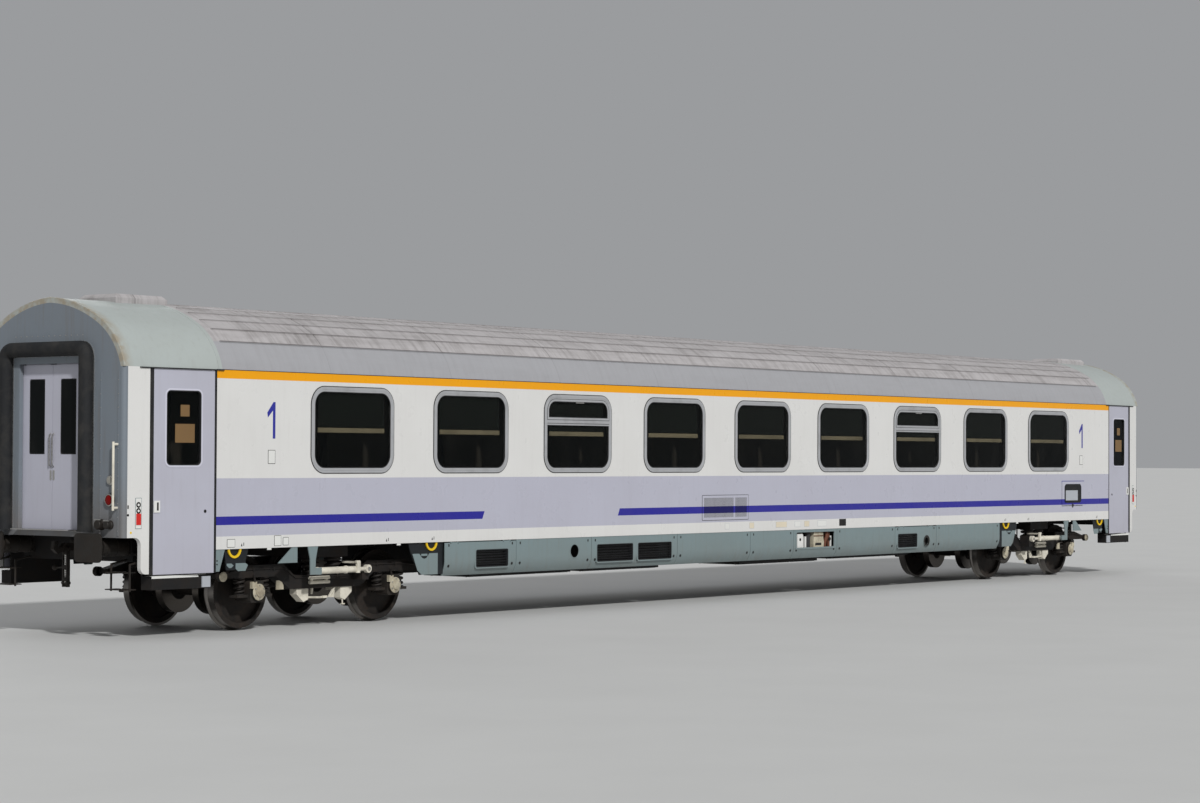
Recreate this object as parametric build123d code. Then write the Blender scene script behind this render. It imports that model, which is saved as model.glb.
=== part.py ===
from build123d import *
import math
import os

os.makedirs("parts", exist_ok=True)

# All sizes are in millimetres. Heights are above the rail, and the whole model is lifted by the flange
# depth when it is written, so that it stands on its flanges. X runs along the coach, and the corridor
# side is at -Y.

# Body shell
length_over_buffers = 26400
buffer_reach = 150
body_width = 2825
wall = 60
end_inset = 90
end_corner = 50
floor_top = 1250
floor_bottom = 1130
sill_bottom = 1015
gutter_height = 3180
overhang_bottom = 1180
sole_bar_inset = 82.5
sole_bar_width = 80
sole_bar_beyond_skirt = 430
jack_pad_length = 180
jack_pad_depth = 30
jack_pad_inset = 40
cut_beyond = 20000

# Roof
roof_rise = 840
roof_radius = 1920
roof_shoulder_angle = 31.5
roof_thickness = 60
roof_end_length = 1460
rib_count = 6
rib_first = 276
rib_spacing = 220
rib_width = 26
rib_height = 9
rib_root = 20
rib_end = 135
hood_chamfer = 0.6
ceiling_above_gutter = 110
ceiling_thickness = 20
ceiling_inset = 202.5
ceiling_end_gap = 100

# Windows
window_count = 9
window_width = 1525
window_height = 1083
window_below_gutter = 165
window_corner = 230
window_frame = 60
frame_lip = 8
frame_overlap = 20
hole_chamfer = 130
glass_thickness = 20
hopper_windows = (2, 6)
hopper_height = 290
hopper_transom = 75
blind_drop = 560
blind_thickness = 4
blind_bar = 24
blind_bar_depth = 14
blind_gap = 8

# Entrance doors
door_from_end = 1395
door_leaf = 945
door_seal = 25
door_seal_set_back = 6
door_set_back = 4
door_bottom = 740
door_head_gap = 2
door_glass_width = 530
door_glass_head = 263
door_glass_height = 890
door_glass_corner = 60
door_glass_thickness = 16
drip_rail_before = 110
drip_rail_after = 220
drip_rail_size = 14

# Corner pillars beside the doors
pillar_foot = 750
pillar_foot_width = 140
pillar_foot_corner = 75
pillar_notch_corner = 90

# Entrance steps
step_depth = 402.5
step_outer_inset = 67.5
step_riser_inset = 247.5
step_box_bottom = 560
step_tread = 720
step_upper = 985
step_plate = 25
step_side_gap = 5

# Gangway and end doors
doorway_width = 1060
doorway_above_gutter = 50
gangway_width = 1620
gangway_above_doorway = 260
gangway_band = 180
gangway_depth = 140
gangway_foot_drop = 5
end_leaf_thickness = 35
end_leaf_gap = 8
end_leaf_overlap = 30
end_leaf_meeting = 3
end_leaf_foot_gap = 8
end_leaf_head_gap = 10
end_leaf_stile = 140
end_leaf_glass_bottom = 900
end_leaf_glass_head = 180
end_leaf_rebate = 10
end_hanger_inset = 60
end_hanger_gap = 0.5
end_track_drop = 25
end_track_inset = 332.5
bridge_width = 1040
bridge_length = 130
bridge_thickness = 10
hinge_play = 0.3

# Buffers, draw gear and end fittings
headstock_recess = 470
headstock_depth = 150
headstock_step_gap = 30
headstock_bottom = 880
buffer_height = 1060
buffer_spacing = 1750
buffer_foot = 208
buffer_foot_thickness = 25
buffer_barrel_radius = 105
buffer_stem_radius = 80
buffer_stem_length = 145
buffer_plate_width = 450
buffer_plate_height = 340
buffer_plate_thickness = 30
buffer_plate_corner = 60
draw_height = 1040
hook_thickness = 56
hook_plate_half = 110
hook_plate_drop = 130
hook_plate_rise = 80
hook_plate_thickness = 30
link_place = 175
link_width = 50
link_thickness = 16
link_drop = 480
link_pin_radius = 22
link_pin_half = 62
lamp_inset = 302.5
lamp_height = 1620
lamp_radius = 75
lamp_depth = 28
handrail_inset = 187.5
handrail_bottom = 1500
handrail_top = 2300
handrail_stand_off = 70
handrail_radius = 15
handrail_foot_inset = 30

# Running gear
pivot_from_end = 3650
wheelbase = 2500
wheel_diameter = 920
flange_depth = 28
flange_thickness = 34
flange_tip = 16
tread_fall = 4
wheel_back = 680
wheel_width = 135
rim_depth = 65
hub_radius = 118
hub_overhang = 8
web_thickness = 26
web_at_hub = 86
web_at_rim = 55
axle_radius = 80
axle_half_length = 1090
journal_radius = 65
journal_clearance = 0.05
disc_radius = 305
disc_width = 110
disc_place = 330

# Bogie frame
side_frame_place = 1000
side_frame_width = 160
frame_underside = 640
frame_low = 470
frame_high = 790
frame_end_height = 700
frame_reach = 1880
frame_cap_radius = 62
frame_cap_depth = 60
frame_cap_inset = 15
frame_belly = 640
frame_belly_rise = 900
frame_seat = 560
frame_shoulder = 760
frame_shoulder_end = 1500
transom_place = 420
transom_radius = 90
transom_height = 560
bolster_top = 1000
bolster_bottom = 860
bolster_half = 330
bolster_reach = 1150
bolster_gap = 12
pivot_radius = 70
pivot_clearance = 0.4
pivot_top = 1120
pivot_well = 10

# Axleboxes, springs, brakes and dampers
axlebox_width = 230
axlebox_bottom = 330
axlebox_top = 600
axlebox_inner = 905
axlebox_outer = 1105
axlebox_corner = 40
axlebox_cover_radius = 105
axlebox_cover_depth = 35
journal_end_gap = 2
spring_wing = 430
spring_wing_thickness = 35
spring_wing_reach = 300
spring_wing_half = 70
primary_spring_radius = 75
primary_spring_spread = 205
secondary_spring_radius = 115
secondary_spring_spread = 200
pad_gap = 6
pad_thickness = 30
pad_length = 190
pad_bottom = 380
pad_top = 540
caliper_arm_half = 50
caliper_arm_bottom = 420
caliper_arm_top = 520
caliper_bridge = 40
hanger_place = 400
hanger_half = 105
hanger_depth = 60
hanger_outline = [
    # from its inner edge outwards, above the rail
    (0, 330), (85, 300), (210, 400),
]
pipe_radius = 22
pipe_low = 545
pipe_high = 600
pipe_start = -320
pipe_end = 40
pipe_clip = 30
damper_inset = 112.5
damper_height = 700
damper_radius = 42
damper_rod_radius = 26
damper_eye = 450
damper_eye_radius = 44
damper_eye_half = 20
damper_barrel_end = 130
damper_reach = 540
damper_ring_radius = 52
damper_ring_half = 30
damper_carrier = 120
damper_carrier_drop = 140
damper_bracket_place = 570
damper_boss_gap = 38

# Skirts and what hangs under the sill
skirt_from_pivot = 1930
skirt_bottom = 560
skirt_thickness = 12
skirt_set_back = 8
skirt_gap = 8
skirt_upright = 250
skirt_tuck = 75
grille_rim = 22
grille_depth = 60
grille_set_back = 2
slat_count = 6
slat_width = 34
slat_thickness = 5
slat_angle = 35
hinge_drop = 15
hinge_radius = 7
hinge_inset = 200
hinge_barrel = 60
hinge_lug = 20
hinge_clear = 6
hinge_side_play = 0.5
hinge_top_clear = 1
hinge_barrel_radius = 6
sill_plate_thickness = 14
sill_plate_gap = 5
sill_plate_set_back = 10
hook_radius = 112
hook_thickness_radial = 28
hook_depth = 16
hook_set_back = 14
hook_from_door = 335
hook_beyond_skirt = 250
equipment_inset = 232.5
tank_radius = 200
tank_half_length = 900
tank_height = 830
tank_strap = 80
tank_strap_width = 60
tank_strap_inner = 640
valve_radius = 78
valve_height = 850
valve_reach = 140

# Compartments, corridor and seats
vestibule_from_door = 45
end_bay = 1188
partition = 30
corridor_wall_place = -600
compartment_door = 780
door_threshold = 60
compartment_pane = 12
passage_margin = 90
seat_wall_gap = 40
seat_window_gap = 30
seat_foot_start = 45
seat_foot_end = 425
seat_foot_height = 180
seat_foot_inset = 30
rack_below_gutter = 240
rack_thickness = 22
rack_depth = 405

# Tables, with places along the coach that stretch with the reach of the skirts
skirt_panels = [
    # start, end, moves
    (-7470, -5980, True),
    (-5980, -4300, False),
    (-4300, -2230, False),
    (-2230, -320, False),
    (-320, 880, False),
    (880, 2140, False),
    (2140, 3930, False),
    (3930, 5280, True),
    (5280, 7470, False),
]
grilles = [
    # start, end, bottom, top
    (-6840, -6140, 645, 905),
    (-4185, -3310, 645, 915),
    (-3213, -2364, 645, 915),
    (4011, 4657, 645, 897),
]
skirt_holes = [
    # x, height, radius
    (-4690, 823, 100),
    (4952, 750, 65),
]
inspection_windows = [
    # start, end, bottom, top
    (960, 2060, 725, 975),
]
equipment = [
    # start, end, inner y, bottom
    (-6700, -4500, 300, 520),
    (-4200, -2400, 250, 520),
    (-300, 1900, 250, 500),
    (2300, 4700, 250, 520),
    (5400, 6700, 450, 600),
]
tank_places = (-1850, -1250, -650)
valve_places = (1120, 1380, 1640)
roof_hoods = [
    # end of the coach, nearest and farthest distance from it, half width, rise
    (-1, 750, 1590, 330, 80),
    (1, 260, 1320, 300, 68),
]
wall_recesses = [
    # start, end, bottom, top, depth
    (-1610, -395, 1205, 1575, 25),
    (9880, 10500, 1340, 1650, 30),
]
louvre_rim = 38
louvre_post = -790
louvre_step = 46
louvre_slat = 8
louvre_back = 4
louvre_proud = 3
hatch_rim_sides = 110
hatch_rim_ends = 60
hatch_set_back = 6
hatch_latch_radius = 22
hatch_latch_height = 70
seat_outline = [
    # from the wall, above the floor
    (0, 160), (545, 200), (595, 330), (575, 440), (205, 400), (95, 1130), (0, 1160),
]
hook_outline = [
    # beyond the headstock, above the draw height
    (0, -40), (210, -45), (330, -75), (395, -20), (375, 75),
    (320, 70), (325, -5), (265, -5), (215, 50), (0, 40),
]
door_fairing = [
    # from the door's start towards the middle, below the sill
    (5, 0), (165, 0), (75, 265), (5, 265),
]
hook_backplate = [
    # from the door's start towards the middle, below the sill
    (185, 0), (585, 0), (505, 255), (215, 255),
]
gusset = [
    # from the bogie's pivot towards the end, below the sill
    (845, 0), (930, 0), (1180, 195), (845, 195),
]
damper_bracket_outline = [
    # either side of the bracket's middle, below the sill
    (-90, 0), (90, 0), (46, 160), (42, 355), (-160, 355), (-160, 270), (-48, 270), (-52, 160),
]
skirt_end_outline = [
    # beyond the skirt's end, below the sill
    (4, 0), (690, 0), (640, 135), (470, 425), (4, 425),
]

# What follows from those sizes
body_length = length_over_buffers - 2 * buffer_reach
half_body = body_length / 2
half_width = body_width / 2
inner_half = half_width - wall
end_inner = half_body - wall
door_start = half_body - door_from_end
door_end = door_start + 2 * door_seal + door_leaf
door_top = gutter_height - door_head_gap
door_glass_bottom = door_top - door_glass_head - door_glass_height
roof_joint = half_body - roof_end_length
roof_crown = gutter_height + roof_rise
ceiling_height = gutter_height + ceiling_above_gutter
ceiling_half = half_width - ceiling_inset
rack_height = gutter_height - rack_below_gutter
step_inner = half_width - step_depth
step_outer = half_width - step_outer_inset
step_riser = half_width - step_riser_inset
headstock_half_width = step_inner - headstock_step_gap
lamp_place = half_width - lamp_inset
handrail_place = half_width - handrail_inset
end_track_reach = half_width - end_track_inset
sole_bar_place = inner_half - sole_bar_inset
equipment_outer = half_width - equipment_inset
damper_place = half_width - damper_inset
doorway_top = gutter_height + doorway_above_gutter
gangway_top = doorway_top + gangway_above_doorway
headstock_face = half_body - headstock_recess
buffer_face = length_over_buffers / 2
taper_slope = end_inset / door_from_end
taper_angle = math.degrees(math.atan(taper_slope))
wheel_radius = wheel_diameter / 2
pivot_place = half_body - pivot_from_end
skirt_reach = pivot_place - skirt_from_pivot
sole_reach = skirt_reach + sole_bar_beyond_skirt
vestibule_wall = door_start - vestibule_from_door
compartment_pitch = 2 * (vestibule_wall - end_bay) / window_count
window_places = [(i - (window_count - 1) / 2) * compartment_pitch for i in range(window_count)]
cross_wall_places = [(i - window_count / 2) * compartment_pitch for i in range(window_count + 1)]
window_bottom = gutter_height - window_below_gutter - window_height
window_middle = window_bottom + window_height / 2


def along(x):
    """Where a place in the tables lies: they are drawn for one length of skirt and stretch with it."""
    return x * skirt_reach / skirt_panels[-1][1]


def block(x0, x1, y0, y1, z0, z1):
    """A box between two corners."""
    return Pos((x0 + x1) / 2, (y0 + y1) / 2, (z0 + z1) / 2) * Box(abs(x1 - x0), abs(y1 - y0), abs(z1 - z0))


def rod_x(x0, x1, y, z, radius):
    """A round bar along X."""
    return Pos((x0 + x1) / 2, y, z) * Rot(0, 90, 0) * Cylinder(radius, abs(x1 - x0))


def rod_y(x, y0, y1, z, radius):
    """A round bar along Y."""
    return Pos(x, (y0 + y1) / 2, z) * Rot(90, 0, 0) * Cylinder(radius, abs(y1 - y0))


def rod_z(x, y, z0, z1, radius):
    """An upright round bar."""
    return Pos(x, y, (z0 + z1) / 2) * Cylinder(radius, abs(z1 - z0))


def other_side(shape):
    return mirror(shape, about=Plane.XZ)


def other_end(shape):
    return mirror(shape, about=Plane.YZ)


def both_sides(shape):
    return [shape, other_side(shape)]


def both_ends(shape):
    return [shape, other_end(shape)]


def four_corners(shape):
    return both_sides(shape) + both_sides(other_end(shape))


def save(name, *shapes):
    """Writes the solids of one node, lifted so that the flanges stand on the floor."""
    solids = [solid for shape in shapes for solid in shape.solids()]
    export_step(Pos(0, 0, flange_depth) * Compound(solids), f"parts/{name}.step")


def side_prism(points, y0, y1):
    """An outline of (x, z) points, pushed from y0 to y1."""
    outline = make_face(Polyline([(x, 0, z) for x, z in points], close=True))
    return Pos(0, y0, 0) * extrude(outline, amount=y1 - y0, dir=(0, 1, 0))


def rounded_opening(width, height, corner, thickness):
    """A rounded rectangular prism, standing in the XZ plane and centred at the origin."""
    return Rot(90, 0, 0) * extrude(RectangleRounded(width, height, corner), amount=thickness / 2, both=True)


def cut_corner_plate(width, height, cut, thickness):
    """A rectangular plate with its four corners cut off, standing in the XZ plane."""
    plate = Rot(90, 0, 0) * extrude(Rectangle(width, height), amount=thickness / 2, both=True)
    return chamfer(plate.edges().filter_by(Axis.Y), cut)


def between(shape, x0, x1):
    """Keeps what lies between two planes across the coach."""
    return shape & block(x0, x1, -cut_beyond, cut_beyond, -cut_beyond, cut_beyond)


# Roof
def roof_section(x, lower=0):
    """The closed section under the roof's face at x, of crown arc and shoulder arcs down to the gutters."""
    angle = math.radians(roof_shoulder_angle)
    radius = roof_radius - lower
    crown = roof_crown - lower
    joint_y = radius * math.sin(angle)
    joint_z = crown - radius * (1 - math.cos(angle))
    edge = half_width - lower
    arc = ThreePointArc((x, -joint_y, joint_z), (x, 0, crown), (x, joint_y, joint_z))
    fall = (math.cos(angle), math.sin(angle))
    right = TangentArc((x, joint_y, joint_z), (x, edge, gutter_height), tangent=(0, fall[0], -fall[1]))
    left = TangentArc((x, -joint_y, joint_z), (x, -edge, gutter_height), tangent=(0, -fall[0], -fall[1]))
    base = Line((x, edge, gutter_height), (x, -edge, gutter_height))
    return make_face(Wire([left, arc, right, base]))


def tapered_roof(lower=0):
    """The solid under the +X end roof: each half runs in towards the middle, as the walls below it do."""
    slope = end_inset / roof_end_length
    length = roof_end_length * math.sqrt(1 + slope ** 2)
    half = extrude(roof_section(roof_joint, lower), amount=length, dir=(1, -slope, 0))
    half = half & block(0, cut_beyond, 0, cut_beyond, 0, cut_beyond)
    return half + other_side(half)


def end_roof():
    return tapered_roof() - tapered_roof(roof_thickness)


def shoulder_centre():
    """Centre and radius of the shoulder arc, which leaves the crown arc smoothly and ends at the gutter."""
    angle = math.radians(roof_shoulder_angle)
    joint = Vector(roof_radius * math.sin(angle), roof_crown - roof_radius * (1 - math.cos(angle)))
    inward = Vector(-math.sin(angle), -math.cos(angle))
    chord = Vector(half_width, gutter_height) - joint
    radius = chord.length ** 2 / (2 * chord.dot(inward))
    return joint + inward * radius, radius


def rib(distance):
    """One lengthwise roof rib, placed by its arc length from the crown."""
    joint_distance = roof_radius * math.radians(roof_shoulder_angle)
    if distance < joint_distance:
        centre, radius = Vector(0, roof_crown - roof_radius), roof_radius
        angle = math.degrees(distance / roof_radius)
    else:
        centre, radius = shoulder_centre()
        angle = roof_shoulder_angle + math.degrees((distance - joint_distance) / radius)
    reach = roof_joint - rib_end
    bar = block(-reach, reach, -rib_width / 2, rib_width / 2, radius - rib_root, radius + rib_height)
    return Pos(0, centre.X, centre.Y) * Rot(-angle, 0, 0) * bar


def centre_roof():
    length = 2 * roof_joint
    shell = extrude(roof_section(-roof_joint), amount=length, dir=(1, 0, 0))
    shell -= extrude(roof_section(-roof_joint, roof_thickness), amount=length, dir=(1, 0, 0))
    ribs = [rib(rib_first + i * rib_spacing) for i in range(rib_count)]
    return shell + [piece for one in ribs for piece in both_sides(one)]


def roof_hood(end, near, far, half, rise):
    """A low hood on an end roof, seated on the roof's curve, with sloping edges."""
    foot = roof_crown - roof_thickness
    hood = block(half_body - far, half_body - near, -half, half, foot, roof_crown + rise)
    hood = chamfer(hood.edges().group_by(Axis.Z)[-1], rise * hood_chamfer)
    hood -= extrude(roof_section(0), amount=roof_joint, dir=(1, 0, 0)) + tapered_roof()
    return hood if end > 0 else other_end(hood)


def ceiling():
    reach = end_inner - ceiling_end_gap
    top = ceiling_height + ceiling_thickness
    return block(-reach, reach, -ceiling_half, ceiling_half, ceiling_height, top)


# Side walls
def side_wall():
    """The long wall between the entrance doors, with its window holes, on the -Y side."""
    panel = block(-door_start, door_start, -half_width, -inner_half, sill_bottom, gutter_height)
    width = window_width - 2 * frame_overlap
    height = window_height - 2 * frame_overlap
    hole = cut_corner_plate(width, height, hole_chamfer, 3 * wall)
    for x in window_places:
        panel -= Pos(x, -half_width, window_middle) * hole
    return panel


def corridor_side_wall():
    """The corridor side's wall, with the recesses for the louvre and the service hatch."""
    panel = side_wall()
    for x0, x1, z0, z1, depth in wall_recesses:
        panel -= block(along(x0), along(x1), -half_width - wall, -half_width + depth, z0, z1)
    return panel


def wall_louvre():
    """The air louvre in the corridor side: a frame, a post and rows of upright slats."""
    x0, x1, z0, z1, depth = wall_recesses[0]
    x0, x1, post = along(x0), along(x1), along(louvre_post)
    back = -half_width + depth
    grid = block(x0, x1, -half_width - louvre_proud, back, z0, z1)
    low, high = z0 + louvre_rim, z1 - louvre_rim
    for start, end in ((x0 + louvre_rim, post), (post + louvre_rim, x1 - louvre_rim)):
        grid -= block(start, end, -half_width - wall, back - louvre_back, low, high)
        count = round((end - start) / louvre_step)
        for i in range(1, count):
            x = start + i * (end - start) / count
            grid += block(
                x - louvre_slat / 2, x + louvre_slat / 2, -half_width, back - louvre_back, low, high,
            )
    return grid


def service_hatch():
    """The small lid by the right-hand door, with its raised rim and turn latch."""
    x0, x1, z0, z1, depth = wall_recesses[1]
    x0, x1 = along(x0), along(x1)
    front = -half_width + hatch_set_back
    lid = block(x0, x1, front, -half_width + depth, z0, z1)
    rim = block(
        x0 - hatch_rim_sides, x1 + hatch_rim_sides, -half_width - louvre_proud, -half_width,
        z0 - hatch_rim_ends, z1 + hatch_rim_ends,
    )
    rim -= block(x0, x1, -half_width - wall, 0, z0, z1)
    latch = rod_y((x0 + x1) / 2, -half_width, front, z0 + hatch_latch_height, hatch_latch_radius)
    return [lid + latch, rim]


# Doors and the tapered ends, drawn along X from the door's start with the outer face at y = 0
def along_taper(shape):
    """Sets such a piece on the tapered end of the wall, at +X and -Y."""
    return Pos(door_start, -half_width, 0) * Rot(0, 0, taper_angle) * shape


def corner_pillar():
    """The wall beyond the door, with a foot that narrows to a rounded tongue below the overhang."""
    start = 2 * door_seal + door_leaf
    notch_start = start + pillar_foot_width
    length = 2 * door_from_end
    pillar = block(start, length, 0, wall, overhang_bottom, gutter_height)
    foot = block(start, notch_start, 0, wall, pillar_foot, overhang_bottom)
    foot = fillet(foot.edges().filter_by(Axis.Y).group_by(Axis.Z)[0].sort_by(Axis.X)[-1], pillar_foot_corner)
    notch_end = notch_start + pillar_notch_corner
    notch_foot = overhang_bottom - pillar_notch_corner
    corner = block(notch_start, notch_end, 0, wall, notch_foot, overhang_bottom)
    corner -= rod_y(notch_end, -wall, 2 * wall, notch_foot, pillar_notch_corner)
    return between(along_taper(pillar + foot + corner), door_start, end_inner)


def door_glass_place():
    return Pos(door_seal + door_leaf / 2, 0, door_glass_bottom + door_glass_height / 2)


def door_leaf_piece():
    leaf = block(door_seal, door_seal + door_leaf, door_set_back, wall, door_bottom, door_top)
    window = rounded_opening(door_glass_width, door_glass_height, door_glass_corner, 3 * wall)
    return along_taper(leaf - door_glass_place() * window)


def door_pane():
    pane = rounded_opening(door_glass_width, door_glass_height, door_glass_corner, door_glass_thickness)
    return along_taper(Pos(0, wall / 2, 0) * door_glass_place() * pane)


def door_seals():
    low, high = door_seal_set_back, wall - door_seal_set_back
    first = block(-door_seal, door_seal, low, high, door_bottom, door_top)
    second = block(door_seal + door_leaf, 2 * door_seal + door_leaf, low, high, door_bottom, door_top)
    return [between(along_taper(first), door_start, half_body), along_taper(second)]


def drip_rail():
    end = door_leaf + drip_rail_after
    return along_taper(
        block(-drip_rail_before, end, -drip_rail_size, 0, gutter_height - drip_rail_size, gutter_height)
    )


def end_wall():
    """The +X end wall with rounded corners, its arched head inside the end roof and the gangway doorway."""
    half = half_width - end_inset
    plate = block(end_inner, half_body, -half, half, overhang_bottom, gutter_height)
    plate = fillet(plate.edges().filter_by(Axis.Z).group_by(Axis.X)[-1], end_corner)
    plate += between(tapered_roof(roof_thickness), end_inner, half_body)
    doorway = block(
        end_inner - wall, half_body + wall, -doorway_width / 2, doorway_width / 2, floor_top, doorway_top,
    )
    return plate - doorway


# Floor and underframe
def floor_plan():
    """The floor's outline, which narrows towards each end with the walls."""
    start_half = half_width - wall / math.cos(math.radians(taper_angle))
    end_half = start_half - taper_slope * (end_inner - door_start)
    corners = [(door_start, inner_half), (door_start, start_half), (end_inner, end_half)]
    right = corners + [(x, -y) for x, y in reversed(corners)]
    left = [(-x, y) for x, y in reversed(right)]
    return make_face(Polyline([(x, y, 0) for x, y in right + left], close=True))


def underframe():
    """Floor, headstocks, bolster beams with their pivot wells, and two sole bars with their jacking pads."""
    deck = Pos(0, 0, floor_bottom) * extrude(floor_plan(), amount=floor_top - floor_bottom, dir=(0, 0, 1))
    beyond = half_body + wall
    for end in (-1, 1):
        deck -= block(end * headstock_face, end * beyond, -half_width, half_width, 0, overhang_bottom)
        deck += block(
            end * (headstock_face - headstock_depth), end * headstock_face,
            -headstock_half_width, headstock_half_width, headstock_bottom, floor_bottom,
        )
        deck += block(
            end * (pivot_place - bolster_half), end * (pivot_place + bolster_half),
            -bolster_reach, bolster_reach, bolster_top + bolster_gap, floor_bottom,
        )
        well = pivot_radius + pivot_clearance
        deck -= rod_z(end * pivot_place, 0, bolster_top, pivot_top + pivot_well, well)
        for side in (-1, 1):
            deck -= block(
                end * (door_start + door_seal), end * (door_start + door_seal + door_leaf),
                side * step_inner, side * half_width, 0, gutter_height,
            )
    inner, outer = sole_bar_place - sole_bar_width / 2, sole_bar_place + sole_bar_width / 2
    for side in (-1, 1):
        deck += block(-sole_reach, sole_reach, side * inner, side * outer, sill_bottom, floor_bottom)
        for end in (-1, 1):
            pad = end * (sole_reach - jack_pad_inset)
            deck += block(
                pad - end * jack_pad_length, pad, side * inner, side * outer,
                sill_bottom - jack_pad_depth, sill_bottom,
            )
    return deck


def door_step():
    """The stairwell under the entrance door at +X and -Y: lower tread on its box, riser and upper tread."""
    x0 = door_start + door_seal + step_side_gap
    x1 = door_start + door_seal + door_leaf - step_side_gap
    stair = block(x0, x1, -step_outer, -step_riser, step_box_bottom, step_tread)
    stair += block(x0, x1, -step_riser - step_plate, -step_riser, step_tread, step_upper)
    stair += block(x0, x1, -step_riser, -step_inner + step_plate, step_upper - step_plate, step_upper)
    stair += block(x0, x1, -step_inner, -step_inner + step_plate, step_upper - step_plate, floor_bottom)
    return stair


# Windows
def window_frame_ring(hopper):
    """The outer frame of one window, lapping over the wall, with a transom under the hopper if it has one."""
    inner_width = window_width - 2 * window_frame
    inner_height = window_height - 2 * window_frame
    ring = rounded_opening(window_width, window_height, window_corner, frame_lip)
    ring -= rounded_opening(inner_width, inner_height, window_corner - window_frame, 3 * frame_lip)
    if hopper:
        half = inner_width / 2
        top = inner_height / 2 - hopper_height
        ring += block(-half, half, -frame_lip / 2, frame_lip / 2, top - hopper_transom, top)
    return Pos(0, -half_width - frame_lip / 2, window_middle) * ring


def window_pane():
    plate = cut_corner_plate(
        window_width - 2 * frame_overlap, window_height - 2 * frame_overlap, hole_chamfer, glass_thickness
    )
    return Pos(0, -half_width + glass_thickness / 2, window_middle) * plate


def blind():
    """A half-drawn roller blind with its bottom bar, hung in the window opening behind the pane."""
    half = window_width / 2 - frame_overlap - hole_chamfer
    y = -half_width + glass_thickness + blind_gap
    top = window_bottom + window_height - frame_overlap
    bottom = window_bottom + window_height - blind_drop
    bar_y = y + (blind_thickness - blind_bar_depth) / 2
    sheet = block(-half, half, y, y + blind_thickness, bottom, top)
    return sheet + block(-half, half, bar_y, bar_y + blind_bar_depth, bottom - blind_bar, bottom)


# Inside
def corridor_partition():
    """The wall between corridor and compartments, with a doorway to each compartment."""
    far = corridor_wall_place + partition
    panel = block(-vestibule_wall, vestibule_wall, corridor_wall_place, far, floor_top, ceiling_height)
    half = compartment_door / 2
    for x in window_places:
        panel -= block(
            x - half, x + half, corridor_wall_place - partition, far + partition,
            floor_top + door_threshold, gutter_height,
        )
    return panel


def corridor_panes():
    """A glazed sliding door to each compartment, shut."""
    middle = corridor_wall_place + partition / 2
    half = compartment_door / 2
    return [
        block(
            x - half, x + half, middle - compartment_pane / 2, middle + compartment_pane / 2,
            floor_top + door_threshold, gutter_height,
        )
        for x in window_places
    ]


def wall_across(x0, x1, y0):
    """A wall across the coach from y0 to the far side, narrower above the gutter."""
    lower = block(x0, x1, y0, inner_half, floor_top, gutter_height)
    return lower + block(x0, x1, max(y0, -ceiling_half), ceiling_half, gutter_height, ceiling_height)


def cross_walls():
    start = corridor_wall_place + partition
    return [wall_across(x - partition / 2, x + partition / 2, start) for x in cross_wall_places]


def vestibule_walls():
    """The walls between the vestibules and the corridor, each with its passage."""
    across = wall_across(vestibule_wall, vestibule_wall + partition, -inner_half)
    passage = block(
        vestibule_wall - partition, vestibule_wall + 2 * partition,
        -inner_half + passage_margin, corridor_wall_place, floor_top - partition, gutter_height,
    )
    return both_ends(across - passage)


def against_cross_walls(piece):
    """Copies a piece that faces +X from a cross wall at x = 0 to both sides of every compartment."""
    facing = [Pos(x, 0, 0) * piece for x in cross_wall_places[:-1]]
    return facing + [Pos(x, 0, 0) * other_end(piece) for x in cross_wall_places[1:]]


def seat_bench():
    """Three seats in a row facing +X, their backs against a cross wall at x = 0."""
    near = corridor_wall_place + partition + seat_wall_gap
    far = inner_half - seat_window_gap
    start = partition / 2
    bench = side_prism([(start + x, floor_top + z) for x, z in seat_outline], near, far)
    foot = block(
        start + seat_foot_start, start + seat_foot_end, near + seat_foot_inset, far - seat_foot_inset,
        floor_top, floor_top + seat_foot_height,
    )
    return bench + foot


def luggage_rack():
    start = partition / 2
    return block(
        start, start + rack_depth, corridor_wall_place + partition, inner_half,
        rack_height, rack_height + rack_thickness,
    )


# Gangway and end doors
def gangway_rubber():
    """The thick rubber bead round the gangway, open at the foot."""
    face = half_body + gangway_depth
    half = gangway_width / 2
    outer = block(half_body, face, -half, half, floor_top - gangway_foot_drop, gangway_top)
    outer = fillet(outer.edges().filter_by(Axis.X).group_by(Axis.Z)[-1], gangway_band)
    passage = half - gangway_band
    return outer - block(
        half_body - wall, face + wall, -passage, passage, floor_top - wall, gangway_top - gangway_band,
    )


def bridge_plate():
    """The folding plate between the gangways, hinged on the end wall at floor level."""
    half = bridge_width / 2
    barrel = bridge_thickness / 2
    axis_x = half_body + barrel + hinge_play
    top = floor_top + bridge_thickness
    plate = block(axis_x + barrel / 2, half_body + bridge_length, -half, half, floor_top, top)
    return plate + rod_y(axis_x, -half, half, floor_top, barrel)


def end_leaf():
    """One leaf of the +X end door, on the +Y side, hung inside the end wall, with a rebated window field."""
    x1 = end_inner - end_leaf_gap
    x0 = x1 - end_leaf_thickness
    width = doorway_width / 2 + end_leaf_overlap
    head = doorway_top - end_leaf_head_gap
    leaf = block(x0, x1, end_leaf_meeting, width, floor_top + end_leaf_foot_gap, head)
    for face in (x0, x1):
        leaf -= block(
            face - end_leaf_rebate, face + end_leaf_rebate, end_leaf_stile, width - end_leaf_stile,
            floor_top + end_leaf_glass_bottom, doorway_top - end_leaf_glass_head,
        )
    third = end_leaf_thickness / 3
    hanger = block(
        x0 + third, x1 - third, end_hanger_inset, width - end_hanger_inset,
        head, doorway_top + end_track_drop - end_hanger_gap,
    )
    return leaf + hanger


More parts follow.
